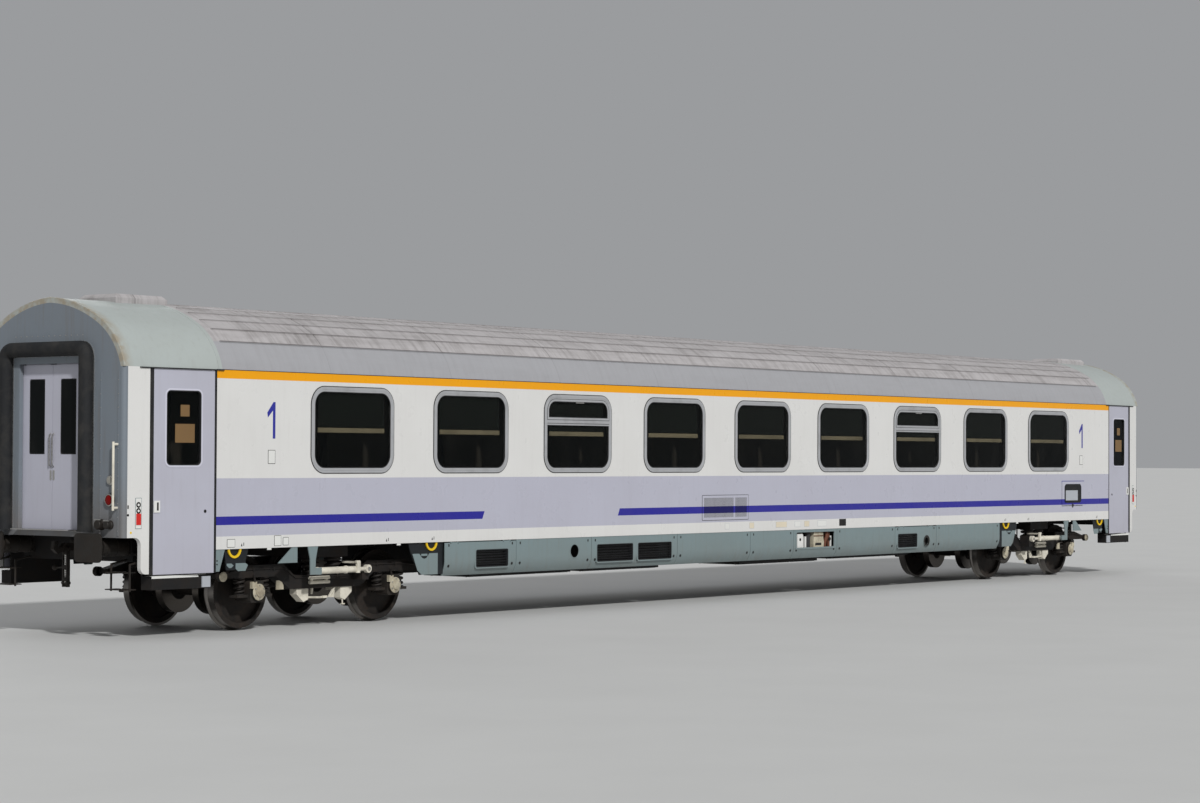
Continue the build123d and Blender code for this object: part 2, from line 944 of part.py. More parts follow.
def end_door_track():
    x0 = end_inner - end_leaf_gap - end_leaf_thickness
    foot = doorway_top + end_track_drop
    return block(x0, end_inner, -end_track_reach, end_track_reach, foot, ceiling_height)


# Ends
def buffer():
    """The +X buffer on the +Y side: foot, barrel, stem and plate."""
    y = buffer_spacing / 2
    half_foot = buffer_foot / 2
    foot_face = headstock_face + buffer_foot_thickness
    plate_back = buffer_face - buffer_plate_thickness
    body = block(
        headstock_face, foot_face, y - half_foot, y + half_foot,
        buffer_height - half_foot, buffer_height + half_foot,
    )
    body += rod_x(foot_face, plate_back - buffer_stem_length, y, buffer_height, buffer_barrel_radius)
    body += rod_x(plate_back - buffer_stem_length, plate_back, y, buffer_height, buffer_stem_radius)
    plate = block(
        plate_back, buffer_face, y - buffer_plate_width / 2, y + buffer_plate_width / 2,
        buffer_height - buffer_plate_height / 2, buffer_height + buffer_plate_height / 2,
    )
    return body + fillet(plate.edges().filter_by(Axis.X), buffer_plate_corner)


def draw_gear():
    """The draw hook on its plate, with the links and pins of the screw coupling hung from it."""
    half = hook_thickness / 2
    gear = side_prism([(headstock_face + x, draw_height + z) for x, z in hook_outline], -half, half)
    gear += block(
        headstock_face, headstock_face + hook_plate_thickness, -hook_plate_half, hook_plate_half,
        draw_height - hook_plate_drop, draw_height + hook_plate_rise,
    )
    x = headstock_face + link_place
    low = draw_height - link_drop
    for side in (-1, 1):
        gear += block(
            x - link_width / 2, x + link_width / 2, side * half, side * (half + link_thickness),
            low, draw_height,
        )
    for z in (low + link_width, draw_height - link_pin_radius):
        gear += rod_y(x, -link_pin_half, link_pin_half, z, link_pin_radius)
    return gear


def tail_lamp():
    return rod_x(half_body, half_body + lamp_depth, lamp_place, lamp_height, lamp_radius)


def end_handrail():
    """An upright grab rail on the end wall outside the gangway, on two feet."""
    x = half_body + handrail_stand_off
    rail = rod_z(x, handrail_place, handrail_bottom, handrail_top, handrail_radius)
    for z in (handrail_bottom + handrail_foot_inset, handrail_top - handrail_foot_inset):
        rail += rod_x(half_body, x, handrail_place, z, handrail_radius)
    return rail


# Skirts
def skirt_face():
    """The skirt's section: upright, then curving inward to its lower edge."""
    y = -half_width + skirt_set_back
    back_y = y + skirt_thickness
    bend = sill_bottom - skirt_upright
    foot = y + skirt_tuck
    back_foot = foot + skirt_thickness
    outer = Line((0, y, sill_bottom), (0, y, bend))
    curve = TangentArc((0, y, bend), (0, foot, skirt_bottom), tangent=(0, 0, -1))
    base = Line((0, foot, skirt_bottom), (0, back_foot, skirt_bottom))
    back = TangentArc((0, back_y, bend), (0, back_foot, skirt_bottom), tangent=(0, 0, -1))
    inner = Line((0, back_y, bend), (0, back_y, sill_bottom))
    top = Line((0, back_y, sill_bottom), (0, y, sill_bottom))
    return make_face(Wire([outer, curve, base, back, inner, top]))


def inside(x, x0, x1):
    return x0 < x < x1


def skirt_panel(x0, x1):
    """One skirt panel, given by its places in the table, with its grille openings and holes."""
    start, end = along(x0) + skirt_gap / 2, along(x1) - skirt_gap / 2
    panel = Pos(start, 0, 0) * extrude(skirt_face(), amount=end - start, dir=(1, 0, 0))
    outside, within = -half_width - wall, -half_width + 3 * wall
    for g0, g1, z0, z1 in grilles + inspection_windows:
        if inside(g0, x0, x1):
            panel -= block(along(g0), along(g1), outside, within, z0, z1)
    for x, z, radius in skirt_holes:
        if inside(x, x0, x1):
            panel -= rod_y(along(x), outside, within, z, radius)
    return panel


def grille(g0, g1, z0, z1):
    """A louvred grille that fills one skirt opening: a rim and slanted slats."""
    x0, x1 = along(g0), along(g1)
    y = -half_width + skirt_set_back + grille_set_back
    rim = block(x0, x1, y, y + grille_depth, z0, z1)
    rim -= block(
        x0 + grille_rim, x1 - grille_rim, y - wall, y + grille_depth + wall, z0 + grille_rim, z1 - grille_rim,
    )
    pitch = (z1 - z0 - 2 * grille_rim) / slat_count
    slat = Rot(-slat_angle, 0, 0) * Box(x1 - x0 - 2 * grille_rim, slat_width, slat_thickness)
    for i in range(slat_count):
        rim += Pos((x0 + x1) / 2, y + grille_depth / 2, z0 + grille_rim + (i + 0.5) * pitch) * slat
    return rim


def fixed_skirts():
    return [piece for x0, x1, moves in skirt_panels if not moves for piece in both_sides(skirt_panel(x0, x1))]


def fixed_grilles():
    """The grilles in the skirt panels that don't move."""
    fixed = [(x0, x1) for x0, x1, moves in skirt_panels if not moves]
    chosen = [g for g in grilles if any(inside(g[0], *span) for span in fixed)]
    return [piece for g in chosen for piece in both_sides(grille(*g))]


def hinge_places(x0, x1):
    return (along(x0) + hinge_inset, along(x1) - hinge_inset)


def flap(x0, x1):
    """A hinged skirt flap: the panel below its hinge line, its barrels along the top, and its own grille."""
    top = sill_bottom - hinge_drop
    panel = skirt_panel(x0, x1) - block(-half_body, half_body, -body_width, 0, top, gutter_height)
    for g in grilles:
        if inside(g[0], x0, x1):
            panel += grille(*g)
    y = -half_width + skirt_set_back + skirt_thickness / 2
    notch_end = hinge_barrel + hinge_lug + hinge_clear
    for x in hinge_places(x0, x1):
        for side in (-1, 1):
            panel -= block(
                x + side * hinge_barrel, x + side * notch_end, -body_width, 0,
                top - hinge_radius - hinge_clear, top + hinge_top_clear,
            )
        panel += rod_x(x - hinge_barrel, x + hinge_barrel, y, top, hinge_barrel_radius)
    return panel


def hinge_lugs():
    """The fixed lugs each side of every flap's hinge barrels, hung from the sill."""
    lugs = []
    y = -half_width + skirt_set_back
    for x0, x1, moves in skirt_panels:
        if moves:
            for x in hinge_places(x0, x1):
                for side in (-1, 1):
                    lugs += both_sides(block(
                        x + side * (hinge_barrel + hinge_side_play), x + side * (hinge_barrel + hinge_lug),
                        y, y + skirt_thickness, sill_bottom - hinge_drop - hinge_radius, sill_bottom,
                    ))
    return lugs


# Under the floor and the sill
def underfloor_boxes():
    """The equipment boxes each side, with the round valves behind the skirt's inspection window."""
    boxes = []
    for x0, x1, inner, bottom in equipment:
        box = block(along(x0), along(x1), -equipment_outer, -inner, bottom, floor_bottom)
        valve_end = -equipment_outer - valve_reach
        for x in valve_places:
            if inside(x, x0, x1):
                box += rod_y(along(x), valve_end, -equipment_outer, valve_height, valve_radius)
        boxes += both_sides(box)
    return boxes


def air_reservoirs():
    """Three tanks across the coach, each hung on two straps."""
    tanks = []
    for place in tank_places:
        x = along(place)
        tank = rod_y(x, -tank_half_length, tank_half_length, tank_height, tank_radius)
        for side in (-1, 1):
            tank += block(
                x - tank_strap / 2, x + tank_strap / 2, side * tank_strap_inner,
                side * (tank_strap_inner + tank_strap_width), tank_height, floor_bottom,
            )
        tanks.append(tank)
    return tanks


def sill_plate(outline, place, towards, set_back):
    """A plate hung below the sill at +X and -Y, from (distance from place, drop) points along X."""
    y = -half_width + set_back
    points = [(place + towards * x, sill_bottom - drop) for x, drop in outline]
    return side_prism(points, y, y + sill_plate_thickness)


def damper_bracket():
    """The tapered bracket for the yaw damper, whose foot has a boss beside the damper's free eye."""
    x = pivot_place + damper_bracket_place
    face = -half_width + skirt_set_back
    plate = sill_plate(damper_bracket_outline, x, 1, skirt_set_back)
    boss_end = -damper_place - damper_eye_half - damper_boss_gap
    return plate + rod_y(pivot_place + damper_eye, face, boss_end, damper_height, damper_eye_radius)


def sill_fairings():
    """The plates below the sill round one bogie: door fairing, hook's backplate, gusset and skirt end."""
    behind_hook = hook_set_back + hook_depth + sill_plate_gap
    return [
        sill_plate(door_fairing, door_start, -1, sill_plate_set_back),
        sill_plate(hook_backplate, door_start, -1, behind_hook),
        sill_plate(gusset, pivot_place, 1, sill_plate_set_back),
        sill_plate(skirt_end_outline, skirt_reach, 1, behind_hook),
    ]


def lifting_hook(x):
    """A flat half ring hung from the sill."""
    y = -half_width + hook_set_back
    ring = rod_y(x, y, y + hook_depth, sill_bottom, hook_radius)
    ring -= rod_y(x, y - wall, y + wall, sill_bottom, hook_radius - hook_thickness_radial)
    return ring & block(x - wall * 3, x + wall * 3, y - wall, y + wall, 0, sill_bottom)


# Bogies, drawn with the pivot at x = 0 and moved to their places
def mirrored_outline(half):
    """Adds the other half of an outline that starts and ends on the middle line."""
    return half + [(-x, z) for x, z in reversed(half) if x]


def side_frame():
    """A side frame, low between the wheels and arched over the axleboxes, with the yaw damper's bearer."""
    half_outline = [
        (0, frame_low), (frame_belly, frame_low), (frame_belly_rise, frame_underside),
        (frame_reach, frame_underside), (frame_reach, frame_end_height), (frame_shoulder_end, frame_high),
        (frame_shoulder, frame_high), (frame_seat, frame_underside), (0, frame_underside),
    ]
    near = -side_frame_place - side_frame_width / 2
    beam = side_prism(mirrored_outline(half_outline), near, near + side_frame_width)
    start = damper_reach - damper_carrier / 2
    beam += block(
        start, start + damper_carrier, -damper_place + damper_ring_half, near,
        damper_height - damper_carrier_drop, damper_height + damper_ring_radius,
    )
    cap = rod_y(
        -frame_reach + frame_cap_inset, near - frame_cap_depth, near, frame_end_height - frame_cap_radius / 2,
        frame_cap_radius,
    )
    return beam + cap


def bogie_frame():
    """Two side frames on tubular transoms, and the bolster with its pivot pin."""
    frame = side_frame() + other_side(side_frame())
    reach = side_frame_place - side_frame_width / 2
    for x in (-transom_place, transom_place):
        frame += rod_y(x, -reach, reach, transom_height, transom_radius)
    bolster = block(-bolster_half, bolster_half, -bolster_reach, bolster_reach, bolster_bottom, bolster_top)
    bolster += rod_z(0, 0, bolster_top, pivot_top, pivot_radius)
    return [frame, bolster]


def axlebox():
    """The box on one journal, with a round cover and the two wings that carry its springs."""
    half = axlebox_width / 2
    box = block(-half, half, -axlebox_outer, -axlebox_inner, axlebox_bottom, axlebox_top)
    box = fillet(box.edges().filter_by(Axis.Y), axlebox_corner)
    box += block(
        -spring_wing_reach, spring_wing_reach,
        -side_frame_place - spring_wing_half, -side_frame_place + spring_wing_half,
        spring_wing - spring_wing_thickness, spring_wing,
    )
    box += rod_y(0, -axlebox_outer - axlebox_cover_depth, -axlebox_outer, wheel_radius, axlebox_cover_radius)
    bore = axle_half_length + journal_end_gap
    return box - rod_y(0, -bore, 0, wheel_radius, journal_radius + journal_clearance)


def axleboxes():
    return [piece for x in (-wheelbase / 2, wheelbase / 2) for piece in both_sides(Pos(x, 0, 0) * axlebox())]


def springs():
    """Primary springs on the axlebox wings, and secondary springs under the bolster."""
    coils = []
    for x in (-wheelbase / 2, wheelbase / 2):
        for step in (-primary_spring_spread, primary_spring_spread):
            coils += both_sides(
                rod_z(x + step, -side_frame_place, spring_wing, frame_underside, primary_spring_radius)
            )
    for x in (-secondary_spring_spread, secondary_spring_spread):
        coils += both_sides(
            rod_z(x, -side_frame_place, frame_underside, bolster_bottom, secondary_spring_radius)
        )
    return coils


def yaw_damper():
    """The yaw damper, held by the bogie at one end, its other eye free beside the sill bracket's boss."""
    y, z = -damper_place, damper_height
    eye = rod_y(-damper_eye, y - damper_eye_half, y + damper_eye_half, z, damper_eye_radius)
    damper = eye + rod_x(-damper_eye + damper_eye_radius / 2, damper_barrel_end, y, z, damper_radius)
    damper += rod_x(damper_barrel_end, damper_reach, y, z, damper_rod_radius)
    return damper + rod_y(damper_reach, y - damper_ring_half, y + damper_ring_half, z, damper_ring_radius)


def hangers_and_pipes():
    """The tapered brake hangers under one side frame, and the clipped pair of pipes on its face."""
    near = -side_frame_place
    face = near - side_frame_width / 2
    start, end = hanger_place - hanger_half, hanger_place + hanger_half
    outline = [(start + x, z) for x, z in hanger_outline] + [(end, frame_low), (start, frame_low)]
    hangers = both_ends(side_prism(outline, near - hanger_depth, near + hanger_depth))
    pipes = rod_x(pipe_start, pipe_end, face - pipe_radius, pipe_low, pipe_radius)
    pipes += rod_x(pipe_start, pipe_end, face - pipe_radius, pipe_high, pipe_radius)
    low, high = pipe_low - pipe_radius, pipe_high + pipe_radius
    for x in (pipe_start + pipe_clip, pipe_end - 2 * pipe_clip):
        pipes += block(x, x + pipe_clip, face - pipe_clip, face, low, high)
    return hangers + [pipes]


def caliper():
    """One disc's brake caliper, carried by the transom, for the axle on the +X side of the pivot."""
    reach = wheelbase / 2 - disc_radius
    half = disc_width / 2 + pad_gap
    back = reach - caliper_bridge / 2 - pad_gap * 7
    arm = block(
        transom_place + transom_radius / 2, back + caliper_bridge / 2, disc_place - caliper_arm_half,
        disc_place + caliper_arm_half, caliper_arm_bottom, caliper_arm_top,
    )
    for side in (-1, 1):
        arm += block(
            back, back + pad_length, disc_place + side * half, disc_place + side * (half + pad_thickness),
            pad_bottom, pad_top,
        )
    arm -= rod_y(transom_place, 0, side_frame_place, transom_height, transom_radius)
    return arm + block(
        back, back + caliper_bridge, disc_place - half - pad_thickness, disc_place + half + pad_thickness,
        caliper_arm_bottom - pad_thickness, pad_top,
    )


def brakes_and_dampers():
    gear = both_sides(yaw_damper()) + four_corners(caliper())
    return gear + [piece for one in hangers_and_pipes() for piece in both_sides(one)]


def wheelset():
    """Axle, two flanged wheels with dished webs and two brake discs, turned as one piece about Y."""
    front = wheel_back + wheel_width
    rim = wheel_radius - rim_depth
    tip = wheel_radius + flange_depth
    hub_back, hub_front = wheel_back - hub_overhang, front + hub_overhang
    half_disc, half_web = disc_width / 2, web_thickness / 2
    half = [
        # radius, distance from the middle: brake disc, hub, web, rim with its flange and tread, and journal
        (axle_radius, disc_place - half_disc), (disc_radius, disc_place - half_disc),
        (disc_radius, disc_place + half_disc), (axle_radius, disc_place + half_disc),
        (axle_radius, hub_back), (hub_radius, hub_back),
        (hub_radius, wheel_back + web_at_hub - half_web), (rim, wheel_back + web_at_rim - half_web),
        (rim, wheel_back), (tip, wheel_back), (tip, wheel_back + flange_tip),
        (wheel_radius, wheel_back + flange_thickness), (wheel_radius - tread_fall, front), (rim, front),
        (rim, wheel_back + web_at_rim + half_web), (hub_radius, wheel_back + web_at_hub + half_web),
        (hub_radius, hub_front), (journal_radius, hub_front), (journal_radius, axle_half_length),
        (0, axle_half_length),
    ]
    profile = [(r, -y) for r, y in reversed(half)] + half
    return Pos(0, 0, wheel_radius) * revolve(make_face(Polyline(profile, close=True)), Axis.Y)


save("underframe", underframe())
save("side_wall_corridor", corridor_side_wall(), *both_ends(corner_pillar()))
far_pillars = [other_side(piece) for piece in both_ends(corner_pillar())]
save("side_wall_compartment", other_side(side_wall()), *far_pillars)
save("roof_centre", centre_roof())
save("roof_ends", *both_ends(end_roof()))
save("roof_hoods", *[roof_hood(*row) for row in roof_hoods])
save("ceiling", ceiling())
save("end_walls", *both_ends(end_wall()))
save("side_doors", *four_corners(door_leaf_piece()))
save("side_door_glass", *four_corners(door_pane()))
save("door_seals", *[piece for seal in door_seals() for piece in four_corners(seal)])
frames = [Pos(x, 0, 0) * window_frame_ring(i in hopper_windows) for i, x in enumerate(window_places)]
save("window_frames", *[piece for one in frames for piece in both_sides(one)])
save("window_glass", *[piece for x in window_places for piece in both_sides(Pos(x, 0, 0) * window_pane())])
save("blinds", *[piece for x in window_places for piece in both_sides(Pos(x, 0, 0) * blind())])
save("wall_louvre", wall_louvre())
save("service_hatch", *service_hatch())
save("corridor_wall", corridor_partition())
save("corridor_glass", *corridor_panes())
save("cross_walls", *cross_walls())
save("vestibule_walls", *vestibule_walls())
save("seats", *against_cross_walls(seat_bench()))
save("luggage_racks", *against_cross_walls(luggage_rack()))
save("gangway_rubbers", *both_ends(gangway_rubber()))
save("end_door_tracks", *both_ends(end_door_track()))
save("end_handrails", *four_corners(end_handrail()))
save("buffers", *four_corners(buffer()))
save("draw_gear", *both_ends(draw_gear()))
save("tail_lamps", *four_corners(tail_lamp()))
save("drip_rails", *four_corners(drip_rail()))
save("skirts", *fixed_skirts())
save("skirt_grilles", *fixed_grilles())
save("skirt_hinges", *hinge_lugs())
save("underfloor_boxes", *underfloor_boxes())
save("air_reservoirs", *air_reservoirs())
save("door_steps", *four_corners(door_step()))
save("damper_brackets", *four_corners(damper_bracket()))
save("sill_fairings", *[piece for plate in sill_fairings() for piece in four_corners(plate)])
hook_places = (skirt_reach + hook_beyond_skirt, door_start - hook_from_door)
save("lifting_hooks", *[piece for x in hook_places for piece in four_corners(lifting_hook(x))])
for number, place, turn in ((1, -pivot_place, 0), (2, pivot_place, 180)):
    at = Pos(place, 0, 0) * Rot(0, 0, turn)
    save(f"bogie_frame_{number}", *[at * piece for piece in bogie_frame()])
    save(f"axleboxes_{number}", *[at * piece for piece in axleboxes()])
    save(f"springs_{number}", *[at * piece for piece in springs()])
    save(f"brakes_and_dampers_{number}", *[at * piece for piece in brakes_and_dampers()])
pivots = (-pivot_place, pivot_place)
axle_places = [pivot + step for pivot in pivots for step in (-wheelbase / 2, wheelbase / 2)]
for number, place in enumerate(axle_places, start=1):
    save(f"wheelset_{number}", Pos(place, 0, 0) * wheelset())
save("end_door_1_left", other_end(other_side(end_leaf())))
save("end_door_1_right", other_end(end_leaf()))
save("end_door_2_left", end_leaf())
save("end_door_2_right", other_side(end_leaf()))
save("bridge_plate_1", other_end(bridge_plate()))
save("bridge_plate_2", bridge_plate())
moving_panels = [(x0, x1) for x0, x1, moves in skirt_panels if moves]
for number, (x0, x1) in enumerate(moving_panels, start=1):
    save(f"skirt_flap_{number}_near", flap(x0, x1))
    save(f"skirt_flap_{number}_far", other_side(flap(x0, x1)))
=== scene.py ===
"""Looks of the passenger coach: finishes, fittings, upholstery, camera, floor and light."""
import math

import bmesh
import bpy
from mathutils import Matrix, Vector


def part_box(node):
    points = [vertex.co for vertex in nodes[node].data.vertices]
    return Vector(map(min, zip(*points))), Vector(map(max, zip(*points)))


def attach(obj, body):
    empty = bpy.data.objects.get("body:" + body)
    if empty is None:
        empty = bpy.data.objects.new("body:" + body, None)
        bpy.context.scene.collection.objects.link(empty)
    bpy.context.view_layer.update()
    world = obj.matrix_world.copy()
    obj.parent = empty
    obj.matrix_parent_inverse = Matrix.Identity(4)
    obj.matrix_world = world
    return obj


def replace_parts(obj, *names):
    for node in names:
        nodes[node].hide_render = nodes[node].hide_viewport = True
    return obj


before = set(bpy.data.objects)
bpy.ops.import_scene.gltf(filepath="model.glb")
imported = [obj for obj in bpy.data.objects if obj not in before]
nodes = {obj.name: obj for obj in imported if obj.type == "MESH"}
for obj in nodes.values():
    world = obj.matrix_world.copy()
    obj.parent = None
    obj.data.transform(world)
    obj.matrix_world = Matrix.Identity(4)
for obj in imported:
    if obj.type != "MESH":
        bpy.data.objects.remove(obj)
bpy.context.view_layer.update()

# Sizes are in metres. X runs along the coach, the corridor side is at -Y, and heights are above the rail
# unless a name says otherwise. The flanges stand on the floor, so the rail's top lies this much above it.
RAIL = 0.028

# The photograph's camera: its place, its turns in degrees and its lens
CAMERA_PLACE = (-33.957, -24.475, 2.171)
CAMERA_YAW, CAMERA_PITCH, CAMERA_ROLL = 52.288, 1.209, 0.255
CAMERA_LENS = 79.34
SENSOR_WIDTH = 36
CAMERA_REACH = 1000

# The floor's half length, the light from all round, and each sun's name, strength, direction and width
FLOOR_REACH = 600
SKY_COLOUR = (0.90, 0.92, 0.95, 1)
SKY_STRENGTH = 0.36
SUNS = (("key", 2.3, (0.42, 0.72, -0.55), 3.0), ("fill", 0.55, (-0.45, -0.80, -0.25), 40.0))

# Places that the frame gives
wall_low, wall_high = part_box("side_wall_corridor")
frames_low, frames_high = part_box("window_frames")
pane_low, pane_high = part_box("side_door_glass")
HALF_WIDTH = -wall_low.y
GUTTER = wall_high.z - RAIL
HALF_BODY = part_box("end_walls")[1].x
STEP_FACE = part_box("door_steps")[0].y
SKIRT_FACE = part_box("skirts")[0].y
WALL = 0.060
FLOOR = 1.250

# Windows: FRAME_FACE is the frames' face from the wall's, and negative because it stands proud
FRAME_FACE = frames_low.y + HALF_WIDTH
WINDOW_HEIGHT = frames_high.z - frames_low.z
WINDOW_MIDDLE = (frames_high.z + frames_low.z) / 2 - RAIL
WINDOW_WIDTH = 1.525
WINDOW_CORNER = 0.230
WINDOW_FRAME = 0.060
WINDOW_COUNT = 9
PITCH = 2 * (frames_high.x - WINDOW_WIDTH / 2) / (WINDOW_COUNT - 1)
WINDOWS = [(i - (WINDOW_COUNT - 1) / 2) * PITCH for i in range(WINDOW_COUNT)]
CROSS_WALLS = [(i - WINDOW_COUNT / 2) * PITCH for i in range(WINDOW_COUNT + 1)]
HOPPERS = (2, 6)
HOPPER_FOOT = WINDOW_HEIGHT / 2 - WINDOW_FRAME - 0.290
BLIND_HALF = 0.6125
BLIND_INWARD = 0.030
BLIND_FOOT = 2.500
BLIND_TOP = WINDOW_MIDDLE + WINDOW_HEIGHT / 2 - 0.030
BLIND_BAR = 0.062
BLIND_ROLLER = 0.014

# Doors, in the body's tapered ends
END_NARROWING = 0.090
END_LENGTH = 1.395
DOOR_START = HALF_BODY - END_LENGTH
DOOR_LEAF = (0.025, 0.970)
DOOR_GLASS = (0.530, 0.890, 0.060)
DOOR_GLASS_MIDDLE = (pane_low.z + pane_high.z) / 2 - RAIL
DOOR_BOTTOM = 0.740

# The roof's face is a crown arc and two shoulder arcs, which meet at an angle from upright
CROWN_RADIUS = 1.920
CROWN_CENTRE = GUTTER - 1.080
SHOULDER_RADIUS = 0.9153
SHOULDER_OUT = 0.5249
SHOULDER_DROP = 0.2229
ARC_JOINT = math.radians(31.5)
ROOF_END_LENGTH = 1.460
ROOF_SEAM_SHIFT = 0.75

# Running gear and buffers
PIVOT = 9.4
AXLE = 1.25
WHEEL_RADIUS = 0.46
SIDE_FRAME = 1.0
SIDE_FRAME_FACE = -1.080
SPRING_STEP = 0.205
AXLEBOX_FACE = -1.140
BRAKE_ROD = -1.030
CONDUIT = -1.090
FRAME_TUBE_HEIGHT = 0.669
DAMPER_ACROSS, DAMPER_HEIGHT = -1.300, 0.700
BUFFER_ACROSS, BUFFER_HEIGHT = 0.875, 1.060
BUFFER_RINGS = (-0.420, -0.260, -0.110)
COUPLING_BACK = 0.295

# The skirt's face is upright down to its bend and then curves inward. Its panels meet at these places, and
# FLAP_PANELS gives the number of the flap that a panel is. 0 stands for none, here and in the grilles.
SKIRT_BEND = 0.765
SKIRT_RADIUS = 0.3177
PANELS = [-7.47, -5.98, -4.30, -2.23, -0.32, 0.88, 2.14, 3.93, 5.28, 7.47]
FLAP_PANELS = {0: 1, 7: 2}
# Start, end, foot, top and flap of each grille
GRILLES = [
    (-6.840, -6.140, 0.645, 0.905, 1), (-4.185, -3.310, 0.645, 0.915, 0),
    (-3.213, -2.364, 0.645, 0.915, 0), (4.011, 4.657, 0.645, 0.897, 2),
]

# Livery heights, and the stripe's gap on the corridor side with the slant of its ends
SILL_TOP = 1.170
BELT_TOP = 1.870
STRIPE = (1.307, 1.410)
STRIPE_GAP = (-6.71, -3.70)
STRIPE_SLANT = 0.45
CANT = 3.075
ROOF_BAND_START = 1.376
RIB_PITCH = 0.220

# Benches
SEATS_PER_BENCH = 3
SEAT_START = -0.530
SEAT_END = 1.3225
BACK_LEAN = 90 - 8.6
CHANNEL_DEPTH = 0.008
CHANNEL_WIDTH = 0.012


def srgb(red, green, blue):
    """A colour given in display values from 0 to 255, as linear light."""
    def linear(value):
        value /= 255
        return value / 12.92 if value <= 0.04045 else ((value + 0.055) / 1.055) ** 2.4
    return (linear(red), linear(green), linear(blue), 1)


WHITE = srgb(222, 221, 218)
LILAC = srgb(184, 184, 197)
ORANGE = srgb(244, 166, 2)
BLUE = srgb(38, 36, 146)
ROOF_GREY = srgb(184, 180, 180)
ROOF_BAND = srgb(164, 164, 167)
ROOF_END = srgb(174, 181, 178)
ROOF_EDGE = srgb(150, 132, 104)
WEATHER_BROWN = srgb(112, 98, 84)
ROOF_DIRT = srgb(104, 98, 95)
# Dirt and painted shadow along the roof's ribs, also the colour of the dark seams between its sheets
RIB_SHADE_AND_DIRT = srgb(66, 60, 58)
BRAKE_DUST = srgb(54, 44, 36)
OIL = srgb(22, 20, 18)
INSIDE = srgb(112, 105, 93)
# What painted() takes after the name: colour, roughness, soil and the height below which dust thickens
SKIRT = (srgb(124, 140, 142), 0.48, 0.45, 0.95)


class Look:
    """A material on one Principled shader, with short calls for the nodes that its pattern needs."""

    def __init__(self, name, base, rough=0.5, metal=0.0, coat=0.0, specular=0.5):
        self.name = name
        self.base = base
        self.material = bpy.data.materials.new(name)
        self.material.use_nodes = True
        self.tree = self.material.node_tree
        self.shader = self.tree.nodes["Principled BSDF"].inputs
        self.shader["Roughness"].default_value = rough
        self.shader["Metallic"].default_value = metal
        self.shader["Coat Weight"].default_value = coat
        self.shader["Specular IOR Level"].default_value = specular
        self.place = self.node("TexCoord", {}).outputs["Object"]
        self.x, self.y, self.z = self.node("SeparateXYZ", {0: self.place}).outputs
        self.height = self.minus(self.z, RAIL)
        self.length = self.math("ABSOLUTE", self.x)
        self.across = self.math("ABSOLUTE", self.y)

    def put(self, value, socket):
        if isinstance(value, bpy.types.NodeSocket):
            self.tree.links.new(value, socket)
        else:
            socket.default_value = value

    def node(self, kind, values, **settings):
        """A new node of this kind, with these values, or what feeds them, in its inputs."""
        made = self.tree.nodes.new("ShaderNode" + kind)
        for key, setting in settings.items():
            setattr(made, key, setting)
        for key, value in values.items():
            self.put(value, made.inputs[key])
        return made

    def math(self, kind, a, b=0.0, c=0.0):
        return self.node("Math", {0: a, 1: b, 2: c}, operation=kind).outputs[0]

    def times(self, a, b):
        return self.math("MULTIPLY", a, b)

    def plus(self, a, b):
        return self.math("ADD", a, b)

    def minus(self, a, b):
        return self.math("SUBTRACT", a, b)

    def above(self, value, level):
        return self.math("GREATER_THAN", value, level)

    def below(self, value, level):
        return self.math("LESS_THAN", value, level)

    def within(self, value, low, high):
        return self.times(self.above(value, low), self.below(value, high))

    def ramp(self, value, start, end, low=0.0, high=1.0):
        """Goes from low at start to high at end, and stays there beyond."""
        return self.node("MapRange", {0: value, 1: start, 2: end, 3: low, 4: high}).outputs[0]

    def wave(self, value, pitch):
        """A smooth wave from 0 to 1 along a coordinate, with its high point at each multiple of pitch."""
        return self.ramp(self.math("COSINE", self.times(value, 2 * math.pi / pitch)), -1, 1)

    def texture(self, kind, scale, stretch=(1, 1, 1), **levels):
        moved = self.node("Mapping", {"Vector": self.place, "Scale": stretch})
        return self.node("Tex" + kind, {"Vector": moved.outputs[0], "Scale": scale, **levels})

    def noise(self, scale, stretch=(1, 1, 1), detail=4.0, rough=0.55):
        return self.texture("Noise", scale, stretch, Detail=detail, Roughness=rough).outputs["Fac"]

    def mix(self, factor, under, over):
        return self.node("Mix", {"Factor": factor, 6: under, 7: over}, data_type="RGBA").outputs[2]

    def over(self, mask, colour):
        """Lays a colour over the present one, as far as the mask goes from 0 to 1."""
        self.base = self.mix(mask, self.base, colour)
        self.put(self.base, self.shader["Base Color"])

    def rough(self, value):
        self.put(value, self.shader["Roughness"])

    def bump(self, height, distance, strength):
        made = self.node("Bump", {"Height": height, "Distance": distance, "Strength": strength})
        if self.shader["Normal"].is_linked:
            self.put(self.shader["Normal"].links[0].from_socket, made.inputs["Normal"])
        self.put(made.outputs[0], self.shader["Normal"])


def weather(look, soil, patchy=0.25, foot=None):
    """Lays on cloudy fading, rain streaks and, where foot is given, dust that thickens below that height."""
    look.over(look.ramp(look.noise(1.3, detail=6), 0.35, 0.75, 0, patchy * 0.35), WEATHER_BROWN)
    streaks = look.noise(5.0, (3.0, 3.0, 0.22), 5, 0.62)
    look.over(look.ramp(streaks, 0.52, 0.78, 0, soil * 0.5), WEATHER_BROWN)
    if foot:
        dust = look.times(look.ramp(look.height, foot, foot - 0.5), look.noise(3.2, detail=6))
        look.over(look.times(dust, soil), WEATHER_BROWN)


